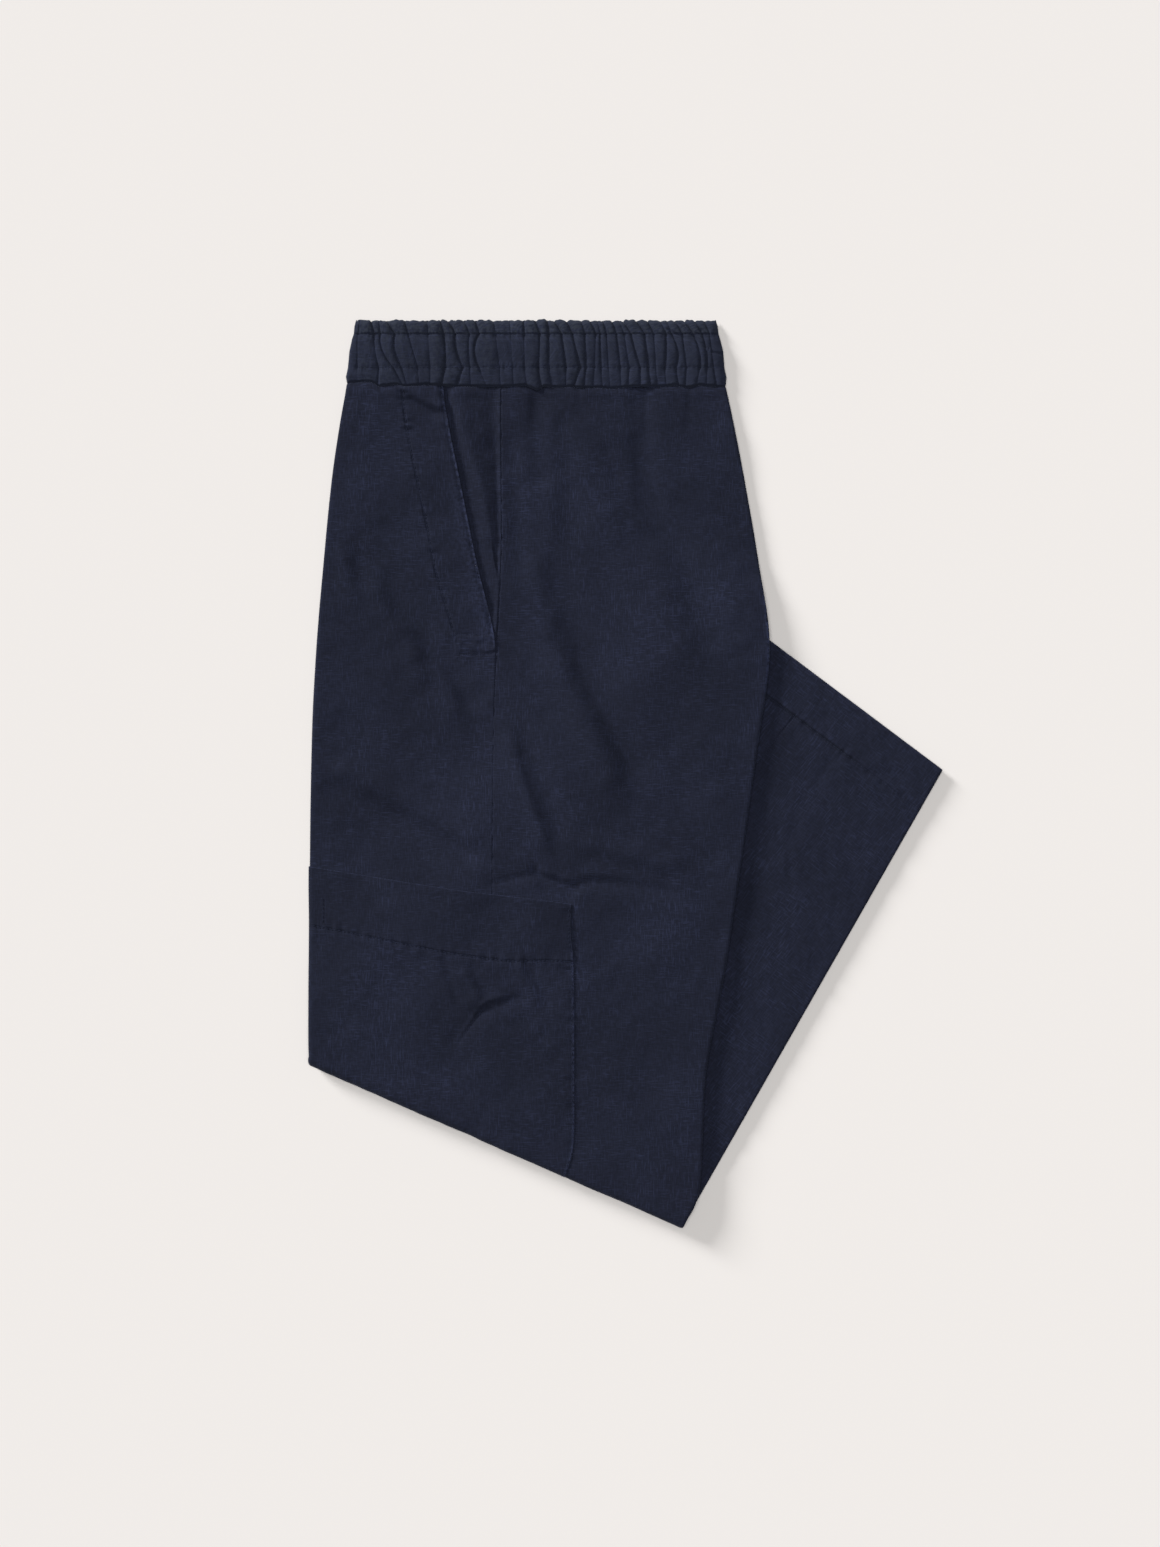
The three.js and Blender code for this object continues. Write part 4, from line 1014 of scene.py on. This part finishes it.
def build_knee_pocket():
    fine, run, stitch_run = pocket_runs()
    marks = np.concatenate([
        EDGE_STEPS, np.linspace(4, stitch_run - 3, 18), stitch_run + STITCH_STEPS,
        np.linspace(stitch_run + 4, run[-1], 104)])
    turns = np.append(FOLD_TURNS[FOLD_TURNS < POCKET_FOLD - 4], POCKET_FOLD)
    rows = Rows(np.interp(marks, run, fine), turns)
    edge = rows.across(POCKET)
    flat_columns = np.concatenate([
        columns_between(np.full(len(edge), ROLL), edge - EDGE_STEPS[-1], 150)[:, :-1],
        edge[:, None] - EDGE_STEPS[::-1]], 1)
    x, y = rows.plan(flat_columns)
    down = rows.run[:, None]
    past_stitch = down - stitch_run
    hem = 1 - smoothstep(past_stitch, -0.8, 0.4)
    from_edge = edge[:, None] - flat_columns
    top = panel_top(x, y) + POCKET_OUT + 0.4 * hem - 0.25 * bell(from_edge, 4.0)
    top += crease_height(POCKET_CREASES, x, y) + drop_height(POCKET_DROPS, x, y)
    top += groove(past_stitch, 0.8, broken(flat_columns, 0.24, 0.22, 11, 33))
    top += groove(from_edge - POCKET_EDGE_STITCH, 0.7, 0.12)
    top += 0.3 * bell(past_stitch - 4.5, 3.0) + pucker(flat_columns, past_stitch, 31)
    top += 1.2 * pucker(repeated(rows.run, flat_columns), from_edge - 1.5, 32)
    across, height, _ = edge_roll(rows, True, POCKET_OUT, POCKET_ANGLES)
    height = height + 0.4 * hem * np.maximum(np.sin(POCKET_ANGLES), 0)
    columns = np.concatenate([across, flat_columns], 1)
    # The cloth round the edge, 0.7 mm from one column to the next
    rolled = ROLL - 0.7 * np.arange(len(POCKET_ANGLES), 0, -1) + 0 * height
    outer = rows.place(columns, np.concatenate([height, top], 1))
    outer[..., 1] += pocket_shift(columns / edge[:, None], down, stitch_run)
    distance = edge[:, None] - columns
    rubbed = 0.9 * bell(distance - 0.8, 0.9) * smoothstep(down, 20, 40)
    # The hem band is painted darker, a painted shade, and a lighter line is painted along the top
    # edge; the back edge is rubbed lower down
    wear_and_shade = np.maximum(rubbed, bell(down, 0.6)) - 0.3 * hem
    cloth = rows.flat(np.concatenate([rolled, flat_columns], 1)) + POCKET_CLOTH
    return outer, round_rim(distance) * round_rim(down), cloth, wear_and_shade


class TROUSERS_OT_body_panels(bpy.types.Operator):
    """Makes the left leg's front and back panels, which wrap the folded legs"""
    bl_idname = "trousers.body_panels"
    bl_label = "Body panels"

    def execute(self, context):
        return sew(
            size("cloth"),
            ("front_panel_cloth", "left_front_panel", build_front_panel),
            ("back_panel_cloth", "left_back_panel", build_back_panel))


class TROUSERS_OT_pockets(bpy.types.Operator):
    """Makes the side piece behind the slanted pocket, and the patch pocket at the knee"""
    bl_idname = "trousers.pockets"
    bl_label = "Pockets"

    def execute(self, context):
        sew(size("cloth"), ("pocket_facing_cloth", "left_pocket_facing", build_facing))
        return sew(
            size("pocket_cloth"), ("knee_pocket_cloth", "left_knee_pocket", build_knee_pocket))


# ---------------------------------------------------------------- waistband

def band_value(column, y):
    """A column of the waistband's table at a height."""
    return np.interp(y, BAND[::-1, 0], BAND[::-1, column])


def gather_lines(y):
    """Where each gather lies on rows at the given heights, and how deep it is there."""
    upper_row, lower_row = BAND_STITCHES
    middle = (upper_row + lower_row) / 2
    stops = np.array([BAND_FOOT, lower_row, upper_row, BAND_HEAD])
    bow = np.clip(1 - ((y - middle) / (upper_row - middle)) ** 2, 0, 1)
    # Heights from the seam to the top edge at which a gather's depth changes
    levels = [269.0, 272.0, 277.0, lower_row, 288.0, middle, 300.0, upper_row, 309.0, 312.5, 316.2]
    places, depths = [], []
    for edge, upper, lower, foot, aside, head, mid, low in GATHERS:
        places.append(np.interp(y, stops, [foot, lower, upper, edge]) + aside * bow)
        depths.append(np.interp(y, levels, [
            1.1 * low, low, 0.7 * low, max(low, mid), mid, 0.85 * mid, mid, max(head, mid),
            1.15 * head, head, 0.7 * head]))
    places = np.stack(places, 1)
    for index in range(1, places.shape[1]):
        places[:, index] = np.maximum(places[:, index], places[:, index - 1] + GATHER_APART)
    return places, GATHER_GAIN * np.stack(depths, 1)


def band_profile(y):
    """Height of the waistband's top along Y, eased from knot to knot."""
    knots, heights = BAND_TOP.T
    index = np.clip(np.searchsorted(knots, y) - 1, 0, len(knots) - 2)
    share = smoothstep(y, knots[index], knots[index + 1])
    return heights[index] + (heights[index + 1] - heights[index]) * share


def band_rows():
    """Heights of the rows, from the top edge down to the seam."""
    edge = BAND_HEAD - np.array([0, 0.05, 0.2, 0.5, 0.95, 1.6, 2.4])
    seam = BAND_FOOT + np.array([2.0, 1.4, 0.9, 0.5, 0.1, -0.3, -0.7])
    middle = np.linspace(edge[-1] - 0.8, seam[0] + 0.7, 52)
    stitched = np.array(BAND_STITCHES)[:, None]
    clear = np.min(np.abs(middle - stitched), 0) > 1.5
    inner = np.concatenate([middle[clear], (stitched + BAND_STITCH_STEPS).ravel()])
    return np.concatenate([edge, np.sort(inner)[::-1], seam])


def build_waistband():
    """The gathered half: its outer face, a plain face without gathers, and its cloth."""
    y = band_rows()
    left, right = band_value(1, y)[:, None], band_value(2, y)[:, None]
    lines, depths = gather_lines(y)
    none = np.zeros((len(y), 1))
    stops = np.concatenate([left + END_ROLL, lines, right - END_ROLL], 1)
    deep = np.concatenate([none, depths, none], 1)
    fullness = np.random.default_rng(45).uniform(0.6, 1.25, stops.shape[1])
    x_parts, puff_parts, dent_parts = [], [], []
    for index, full in enumerate(fullness[:-1]):
        start, end = stops[:, index, None], stops[:, index + 1, None]
        before, after = deep[:, index, None], deep[:, index + 1, None]
        width = end - start
        cells = max(8, round(width.mean() / 0.55))
        even = np.arange(cells) / cells
        share = ((1 - np.cos(np.pi * even)) / 2 + even) / 2
        x_parts.append(start + width * share)
        bulge = np.maximum(1 - (2 * share - 1) ** 2, 0) ** 0.8
        pull = full * np.minimum(np.maximum(before, 0.15) + np.maximum(after, 0.15), 1.8)
        puff_parts.append(bulge * np.minimum(width, 8) * 0.085 * pull)
        dent_parts.append(
            before * np.exp(-width * share / 0.55) + after * np.exp(-width * (1 - share) / 0.55))
    turned = END_ROLL * (1 - np.cos(END_ANGLES))
    x = np.concatenate([left + turned, *x_parts, right - END_ROLL, right - turned[::-1]], 1)
    pad = np.zeros((len(y), len(END_ANGLES)))
    puff = np.concatenate([pad, *puff_parts, none, pad], 1)
    dent = np.concatenate([pad, *dent_parts, none, pad], 1)
    lift = np.ones(x.shape[1])
    lift[:len(END_ANGLES)] = np.sin(END_ANGLES)
    lift[-len(END_ANGLES):] = np.sin(END_ANGLES)[::-1]
    y_grid = repeated(y, x)
    base = (band_value(3, y) + GAP / 2)[:, None]
    upper_row, lower_row = BAND_STITCHES
    fine = crease_height(BAND_CREASES, x, y_grid) + 0.16 * ripple(x, 0.3 * y_grid, 6.0, 42)
    fine += 0.16 * ripple(x, 0.25 * y_grid, 3.0, 41, 24) * (
        bell(y_grid - upper_row, 3.2) + bell(y_grid - lower_row, 3.2))
    fine -= broken(x, 0.45, 0.3, 9, 46, 0.05) * bell(y_grid - upper_row, 0.6)
    fine -= broken(x, 0.1, 0.2, 12, 47) * bell(y_grid - lower_row, 0.6)
    from_head, from_foot = BAND_HEAD - y_grid, y_grid - BAND_FOOT
    edges = round_rim(from_head, 2.6) * (0.6 + 0.4 * round_rim(from_foot, 1.1))
    shape = (band_profile(y)[:, None] - base) * lift
    height = base + np.maximum(shape + (puff - dent + fine) * lift, 0.25 * lift) * edges
    ruffle = 0.8 * puff - 0.7 * dent + 0.35 * ripple(x, 0 * x, 4.5, 44) - 0.9
    moved = y_grid + bell(from_head, 3.5) * lift * ruffle + seam_shift(x, y_grid)
    steps = np.hypot(np.diff(x, axis=1), np.diff(height, axis=1))
    run = np.concatenate([none, np.cumsum(steps, 1)], 1)
    wear_and_shade = 0.7 * bell(from_head, 1.2) + 0.2 * np.minimum(puff, 1)
    wear_and_shade += 0.3 * smoothstep(y_grid, upper_row, upper_row + 1)
    return (
        np.stack([x, moved, height], -1), np.stack([x, moved, base + shape * edges], -1),
        round_rim(from_head, 0.5) * round_rim(from_foot, 0.5),
        np.stack([run, y_grid], -1) + BAND_CLOTH, np.minimum(wear_and_shade, 1))


def build_under_band():
    """The waistband's right half, which lies on the floor."""
    y = band_rows()[::2]
    left = (band_value(1, y) + INSET)[:, None]
    right = (band_value(2, y) - INSET)[:, None]
    turned = END_ROLL * (1 - np.cos(UNDER_ANGLES))
    middle = columns_between((left + END_ROLL)[:, 0], (right - END_ROLL)[:, 0], 240)
    x = np.concatenate([left + turned, middle, right - turned[::-1]], 1)
    swell = np.sin(UNDER_ANGLES)
    turn = np.concatenate([swell, np.ones(middle.shape[1]), swell[::-1]])
    y_grid = repeated(y, x)
    from_head, from_foot = BAND_HEAD - y_grid, y_grid - BAND_FOOT
    height = repeated(band_value(3, y) - GAP / 2, x)
    moved = y_grid - 1.2 + 0.45 * ripple(x, 0 * x, 5.0, 43, 16) * bell(from_head, 4.0)
    moved = np.maximum(moved, BAND_FOOT + 0.02 * from_foot)
    thickness = height * turn * round_rim(from_head, 2.0) * round_rim(from_foot, 1.2)
    upper = np.stack([x, moved, height], -1)
    return upper, upper - UP * thickness[..., None], np.stack([x, y_grid], -1) + UNDER_CLOTH


class TROUSERS_OT_waistband(bpy.types.Operator):
    """Makes the gathered waistband's two halves"""
    bl_idname = "trousers.waistband"
    bl_label = "Waistband"

    def execute(self, context):
        outer, plain, rim, cloth, wear_and_shade = build_waistband()
        cloth_piece(
            "waistband_cloth", "waistband_left", "linen_waistband", size("cloth"), outer, rim,
            cloth, wear_and_shade, plain)
        solid_piece(
            "waistband_under_cloth", "waistband_right", "linen_waistband", *build_under_band())
        return {"FINISHED"}


# ---------------------------------------------------------------- lower leg

def from_hem(point):
    """Distance of a point from the hem, towards the knee."""
    return (point - HEM_BACK) @ HEM_INWARD


def leg_edge(distance):
    """The leg's edge at distances from the hem."""
    return HEM_BACK + (KNEE_BACK - HEM_BACK) * (distance / from_hem(KNEE_BACK))[:, None]


def leg_seam(distance):
    """The seam between the leg's panels at distances from the hem."""
    start = HEM_FRONT + HEM_LINE * LEG_SEAM
    end = KNEE_FRONT + (KNEE_BACK - KNEE_FRONT) * LEG_SEAM
    return start + (end - start) * (distance / from_hem(end))[:, None]


def beneath_body(distance):
    """The line that the lower leg's panels reach beneath the body's edge."""
    rows = Rows(np.linspace(MOUTH_END - 1, KNEE, 1500))
    line = np.concatenate(rows.plan((rows.width - UNDER)[:, None]), 1)
    reach = from_hem(line)
    order = np.argsort(reach)
    return np.stack([np.interp(distance, reach[order], line[order, axis]) for axis in (0, 1)], 1)


def across_leg(start, end, run):
    """Places at runs from one line of points towards another."""
    direction = (end - start) / np.hypot(*(end - start).T)[:, None]
    return start[:, None, :] + direction[:, None, :] * run[..., None]


def hem_shade(distance, points):
    """A lighter line along the hem's edge, and painted shade along the groove of its stitching."""
    pressed = np.interp((points - HEM_BACK) @ HEM_ALONG, *HEM_PRESSED.T)
    from_edge = distance[:, None]
    return 0.8 * bell(from_edge, 0.9) - 0.9 * pressed * bell(from_edge - HEM_DEPTH, 1.1)


def leg_surface(distance, points):
    """Height of the lower leg's outer face, with its hem, its seam and small crumples."""
    x, y = points[..., 0], points[..., 1]
    spread = distance[:, None] + 0 * x
    past_hem = spread - HEM_DEPTH
    top = STACK - LEG_HEM * smoothstep(past_hem, -1, 0.6) + crease_height(LEG_CREASES, x, y)
    top += 0.16 * ripple(x, y, 22, 51) + 0.1 * ripple(x, y, 9, 52)
    run = (points - HEM_BACK) @ HEM_ALONG
    pressed = np.interp(run, *HEM_PRESSED.T)
    top += groove(past_hem, 0.8, pressed * (1 + 0.15 * ripple(run, 0 * run, 8, 54, 12)))
    top += 0.5 * (0.6 + pressed) * pucker(run, past_hem, 53)
    aside = (points - leg_seam(distance)[:, None, :]) @ HEM_ALONG
    beyond = smoothstep(past_hem, -3, 3)
    top += groove(aside, 0.7, broken(spread, 0.12, 0.12, 9, 55) * beyond)
    return top + 0.12 * beyond * bell(aside - 4.0, 2.5)


def leg_cloth(points, past=0.0):
    """The weave's plan on the lower leg, which follows the leg."""
    offset = points - HEM_BACK
    return np.stack([offset @ HEM_ALONG + past, offset @ HEM_INWARD], -1) + LEG_CLOTH


def build_leg_back():
    distance = LEG_STEPS
    end, seam, body = leg_edge(distance), leg_seam(distance), beneath_body(distance)
    start = np.where(((seam - body) @ HEM_ALONG > 0)[:, None], seam, body)
    width = np.hypot(*(end - start).T)[:, None]
    roll = np.minimum(ROLL, width * 0.3)
    narrow = np.minimum(1, width / 20)
    run = np.concatenate([
        EDGE_STEPS[:-1] * narrow,
        columns_between((EDGE_STEPS[-1] * narrow)[:, 0], (width - roll)[:, 0], 84)], 1)
    top = leg_surface(distance, across_leg(start, end, run))
    middle = STACK / 2 + GAP / 2
    last = top[:, -1:]
    turned = (last + middle) / 2 + (last - middle) / 2 * np.sin(ROLL_ANGLES)
    run = np.concatenate([
        run, width - roll * (1 - np.cos(ROLL_ANGLES)),
        width - np.minimum(ROLL + TUCK_STEPS, 0.6 * width)], 1)
    height = np.concatenate([top, turned, np.repeat(turned[:, -1:], len(TUCK_STEPS), 1)], 1)
    points = across_leg(start, end, run)
    outer = raised(points, height)
    steps = np.linalg.norm(np.diff(outer, axis=1), axis=-1)
    length = np.concatenate([np.zeros(width.shape), np.cumsum(steps, 1)], 1)
    # Inside the turned hem the seam hardly shows, so the panels meet there without a groove
    rounded = smoothstep(distance[:, None], HEM_DEPTH - 4, HEM_DEPTH)
    rim = (1 - rounded * (1 - round_rim(run, 0.4))) * round_rim(distance[:, None], 0.5)
    cloth = leg_cloth(across_leg(start, end, length))
    return outer, rim, cloth, hem_shade(distance, points)


def build_leg_front():
    distance = LEG_STEPS[(leg_seam(LEG_STEPS) - beneath_body(LEG_STEPS)) @ HEM_ALONG > 3]
    start, end = beneath_body(distance), leg_seam(distance) + HEM_ALONG * TUCKED_SEAM
    width = np.hypot(*(end - start).T)[:, None]
    narrow = np.minimum(1, width / 12)
    run = np.concatenate([
        columns_between(0 * width[:, 0], (width - EDGE_STEPS[-1] * narrow)[:, 0], 16)[:, :-1],
        width - EDGE_STEPS[::-1] * narrow], 1)
    points = across_leg(start, end, run)
    dip = 0.02 + 0.2 * smoothstep(distance[:, None], HEM_DEPTH - 4, HEM_DEPTH)
    top = leg_surface(distance, points) - dip * (1 - smoothstep(width - run, 0.8, 2.2))
    rim = round_rim(width - run, 0.4) * round_rim(distance[:, None], 0.5)
    cloth = leg_cloth(points, LEG_FRONT_PAST)
    return raised(points, top), rim, cloth, hem_shade(distance, points)


class TROUSERS_OT_lower_leg(bpy.types.Operator):
    """Makes the right leg's panels, which show beside the seat"""
    bl_idname = "trousers.lower_leg"
    bl_label = "Lower leg"

    def execute(self, context):
        return sew(
            size("cloth"),
            ("lower_leg_back_cloth", "right_back_panel", build_leg_back),
            ("lower_leg_front_cloth", "right_front_panel", build_leg_front))


# ---------------------------------------------------------------- hidden layers

def build_thigh():
    """The right leg inside the stack, from the waist round the knee fold."""
    positions = spaced([(0, 900, 6.0)])
    positions[-1] = KNEE - 0.001
    rows = Rows(np.append(positions, KNEE), FOLD_TURNS)
    width = rows.width[:, None]
    inward = INSET + ROLL * (1 - np.cos(THIGH_ANGLES)) + 0 * width
    middle = columns_between(np.full(len(width), TUCK), rows.width - TUCK, 40)
    across = np.concatenate([inward, middle, width - inward[:, ::-1]], 1)
    swell = np.sin(THIGH_ANGLES)
    swell = np.concatenate([swell, np.ones(middle.shape[1]), swell[::-1]])
    centre = rest_height(*rows.plan(across)) + LAYERS / 2
    upper, lower = (rows.place(across, centre + way * swell * LAYERS / 2) for way in (1, -1))
    return upper, lower, rows.flat(across) + THIGH_CLOTH


def build_left_lower_leg():
    """The left lower leg, a flattened tube on the floor from its hem to the knee fold."""
    distance = np.concatenate([[0.6, 0.7, 0.9, 1.2, 2.0], np.linspace(6, from_hem(KNEE_BACK), 60)])
    share = (distance / distance[-1])[:, None]
    fold = Rows([KNEE])
    inside = fold.outward[0] * FOLD_CLEAR
    front = HEM_FRONT + (fold.left[0] - inside - HEM_FRONT) * share
    back = HEM_BACK + (fold.right[0] - inside - HEM_BACK) * share
    near = INSET + ROLL
    far = (np.hypot(*(back - front).T) - near)[:, None]
    angles = np.radians(np.linspace(90, -90, 9))
    wall, half = ROLL * np.cos(angles), LAYERS / 2
    flat = near + (far - near) * np.linspace(0, 1, 26)[1:-1]
    run = np.concatenate([flat, far + wall, flat[:, ::-1], near - wall + 0 * far], 1)
    height = np.concatenate([
        np.full(flat.shape[1], LAYERS), half + half * np.sin(angles),
        np.zeros(flat.shape[1]), half - half * np.sin(angles)]) + 0 * run
    outer = raised(across_leg(front, back, run), height)
    rim = round_rim(distance - 0.6, 0.4)[:, None] + 0 * run
    return outer, rim, leg_cloth(outer[..., :2]) + LOWER_LEG_CLOTH


def build_right_inner():
    """The right lower leg's inner layer, between the two legs."""
    distance = np.concatenate([[1.4, 1.5, 1.7, 2.0, 2.8], np.linspace(6, 330, 60)])
    slant = (KNEE_FRONT - HEM_FRONT) * INNER_SLANT / from_hem(KNEE_FRONT)
    front, back = HEM_FRONT + slant * distance[:, None], leg_edge(distance)
    width = np.hypot(*(back - front).T)
    run = columns_between(0 * width + 2.0, width - 9.0, 30)
    points = across_leg(front, back, run)
    rim = round_rim(distance - 1.4, 0.4)[:, None] + 0 * run
    return raised(points, INNER_HEIGHT + 0 * run), rim, leg_cloth(points, INNER_PAST)


class TROUSERS_OT_hidden_layers(bpy.types.Operator):
    """Makes the layers between the panels, whose edges show from the sides"""
    bl_idname = "trousers.hidden_layers"
    bl_label = "Hidden layers"

    def execute(self, context):
        node, slot = "folded_layers", "linen"
        solid_piece("right_thigh_cloth", node, slot, *build_thigh())
        cloth_piece(
            "left_lower_leg_cloth", node, slot, 0.6 * size("cloth"), *build_left_lower_leg(),
            ring=True)
        cloth_piece("right_inner_cloth", node, slot, size("cloth"), *build_right_inner())
        return {"FINISHED"}


# ---------------------------------------------------------------- stitching

def one_stitch():
    """A stitch's points and faces: a short rounded thread that dips at both ends."""
    bpy.ops.object.select_all(action="DESELECT")
    bpy.ops.mesh.primitive_uv_sphere_add(segments=6, ring_count=5, radius=0.5)
    made = bpy.context.object
    bpy.ops.object.mode_set(mode="EDIT")
    bpy.ops.mesh.select_all(action="SELECT")
    bpy.ops.transform.rotate(value=math.pi / 2, orient_axis="Y", center_override=(0, 0, 0))
    bpy.ops.object.mode_set(mode="OBJECT")
    mesh = made.data
    points = np.array([vertex.co for vertex in mesh.vertices])
    faces = [list(face.vertices) for face in mesh.polygons]
    bpy.data.objects.remove(made)
    bpy.data.meshes.remove(mesh)
    points[:, 2] -= 0.9 * points[:, 0] ** 2
    return points, faces


def evenly(line, pitch):
    """Points and directions at an even spacing along a line of points."""
    steps = np.linalg.norm(np.diff(line, axis=0), axis=1)
    run = np.concatenate([[0], np.cumsum(steps)])
    marks = np.arange(pitch / 2, run[-1], pitch)
    behind, place, ahead = (
        np.stack([np.interp(marks + step * pitch, run, line[:, axis]) for axis in range(3)], 1)
        for step in (-0.3, 0, 0.3))
    direction = ahead - behind
    return place, direction / np.linalg.norm(direction, axis=1, keepdims=True)


def stitches(name, lines):
    """Rows of stitches along lines in plan millimetres, as one piece."""
    pitch, thread = size("stitch"), size("thread")
    template, faces = one_stitch()
    shape = template * np.array([0.8 * pitch, thread, thread])
    points, all_faces = [], []
    for line, up in lines:
        places, direction = evenly(line, pitch)
        side = np.cross(up, direction)
        side /= np.linalg.norm(side, axis=1, keepdims=True)
        for place, *axes in zip(places, direction, side, np.cross(direction, side)):
            start = len(points) * len(template)
            points.append(place + shape @ np.array(axes))
            all_faces.extend([start + corner for corner in face] for face in faces)
    make_piece(name, "thread", np.concatenate(points), all_faces)


def on_panel(rows, across, lift):
    """Points of the body's panels at places across rows, raised a little."""
    return rows.place(across, panel_top(*rows.plan(across)) + lift)


def slanted_pocket_lines():
    """Beside the pocket's mouth, along the second row, and the two rows that close it."""
    rows = Rows(np.linspace(0.02, 3.95, 160))
    mouth = (rows.across(MOUTH) - MOUTH_THREAD)[:, None]
    bag = bag_stitch_across(rows)[rows.position < 3.9, None]
    for across in (mouth, bag):
        used = Rows(rows.position[:len(across)])
        yield shift_to_seam(on_panel(used, across, -0.02))[:, 0], UP
    x = np.linspace(*TACK_ENDS, 30)
    for level in TACK_ROWS:
        y = tack_row(x, level)
        yield np.stack([x, y, panel_top(x, y) + 0.05], 1), UP


def knee_pocket_lines():
    """Down the pocket's back edge, along its hem, and a short row that closes its front end."""
    stitch_run = pocket_runs()[2]
    rows = Rows(np.linspace(POCKET_TOP + 0.05, KNEE, 160), [20, 40, 60, 80, 100])
    line = on_panel(rows, (rows.across(POCKET) - POCKET_EDGE_STITCH)[:, None], GAP + 0.9)[:, 0]
    line[:, 1] += pocket_shift(np.ones(len(line)), rows.run, stitch_run)
    yield line, NEARLY_UP
    row = Rows([POCKET_STITCH])
    width = row.across(POCKET)[0]
    across = np.linspace(1.5, width - 2.5, 120)
    line = on_panel(row, across[None, :], GAP + 1.0)[0]
    line[:, 1] += pocket_shift(across / width, stitch_run, stitch_run)
    yield line, UP
    short = Rows(np.linspace(POCKET_TOP + 0.4, POCKET_STITCH - 0.1, 30))
    yield on_panel(short, np.full((30, 1), 9.0), GAP + 1.5)[:, 0], UP


def waistband_lines():
    outer, heights = build_waistband()[0], band_rows()
    for level in BAND_STITCHES:
        yield outer[np.argmin(np.abs(heights - level)), 8:-8] + UP * 0.02, UP


def hem_lines():
    distance = np.array([HEM_DEPTH])
    start, end = beneath_body(distance)[0], leg_edge(distance)[0]
    points = start + (end - start) * np.linspace(0, 0.985, 120)[:, None]
    yield raised(points, leg_surface(distance, points[None])[0]), UP


class TROUSERS_OT_stitching(bpy.types.Operator):
    """Sews the rows of stitches that show on the pockets, waistband and hem"""
    bl_idname = "trousers.stitching"
    bl_label = "Stitching"

    def execute(self, context):
        stitches("slanted_pocket_stitches", slanted_pocket_lines())
        stitches("knee_pocket_stitches", knee_pocket_lines())
        stitches("waistband_stitches", waistband_lines())
        stitches("hem_stitches", hem_lines())
        return {"FINISHED"}


# ---------------------------------------------------------------- stage

def sun_rotation(azimuth, elevation):
    """Turns a lamp so that its light comes from a compass direction, from +X, and a height."""
    a, e = math.radians(azimuth), math.radians(elevation)
    source = Vector((math.cos(a) * math.cos(e), math.sin(a) * math.cos(e), math.sin(e)))
    return (-source).to_track_quat("-Z", "Y").to_euler()


class TROUSERS_OT_stage(bpy.types.Operator):
    """Sets the floor, the soft light from the upper left and the camera straight above"""
    bl_idname = "trousers.stage"
    bl_label = "Stage"

    def execute(self, context):
        scene = context.scene
        bpy.ops.object.select_all(action="DESELECT")
        bpy.ops.mesh.primitive_plane_add(size=FLOOR_SIZE, location=(0, 0, 0))
        floor = context.object
        floor.name = "floor"
        floor.data.materials.append(painted_floor(scene.trousers_colours.floor))
        for name, (strength, spread, elevation, azimuth) in SUNS.items():
            light = bpy.data.lights.new(name, "SUN")
            light.energy, light.angle = strength, math.radians(spread)
            lamp = bpy.data.objects.new(name, light)
            scene.collection.objects.link(lamp)
            lamp.rotation_euler = sun_rotation(azimuth, elevation)
        world = bpy.data.worlds.new("pale_room")
        world.use_nodes = True
        background = world.node_tree.nodes["Background"]
        background.inputs["Color"].default_value = (1.0, 0.985, 0.965, 1)
        background.inputs["Strength"].default_value = 0.1
        scene.world = world
        scene.view_settings.view_transform = "Standard"
        scene.view_settings.look = "None"
        camera = bpy.data.cameras.new("camera")
        camera.sensor_fit = "AUTO"
        camera.sensor_width, camera.lens = SENSOR, LENS
        eye = bpy.data.objects.new("camera", camera)
        eye.location = CAMERA_PLACE
        scene.collection.objects.link(eye)
        scene.camera = eye
        return {"FINISHED"}


# ---------------------------------------------------------------- panel and main

OPERATORS = (
    TROUSERS_OT_body_panels,
    TROUSERS_OT_pockets,
    TROUSERS_OT_waistband,
    TROUSERS_OT_lower_leg,
    TROUSERS_OT_hidden_layers,
    TROUSERS_OT_stitching,
    TROUSERS_OT_stage,
)


class TROUSERS_PT_panel(bpy.types.Panel):
    """Lists the pieces of the trousers"""
    bl_idname = "TROUSERS_PT_panel"
    bl_label = "Folded trousers"
    bl_space_type = "VIEW_3D"
    bl_region_type = "UI"
    bl_category = "Trousers"

    def draw(self, context):
        for operator in OPERATORS:
            self.layout.operator(operator.bl_idname)
        for group in (context.scene.trousers_sizes, context.scene.trousers_colours):
            for name in group.bl_rna.properties.keys():
                if name not in ("rna_type", "name"):
                    self.layout.prop(group, name)


CLASSES = (ClothSizes, ClothColours, *OPERATORS, TROUSERS_PT_panel)


def register():
    for cls in CLASSES:
        bpy.utils.register_class(cls)
    bpy.types.Scene.trousers_sizes = bpy.props.PointerProperty(type=ClothSizes)
    bpy.types.Scene.trousers_colours = bpy.props.PointerProperty(type=ClothColours)


def unregister():
    del bpy.types.Scene.trousers_colours
    del bpy.types.Scene.trousers_sizes
    for cls in reversed(CLASSES):
        bpy.utils.unregister_class(cls)


def main():
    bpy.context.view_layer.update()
    register()
    for operator in OPERATORS:
        group, name = operator.bl_idname.split(".")
        getattr(getattr(bpy.ops, group), name)()


if __name__ == "__main__":
    main()
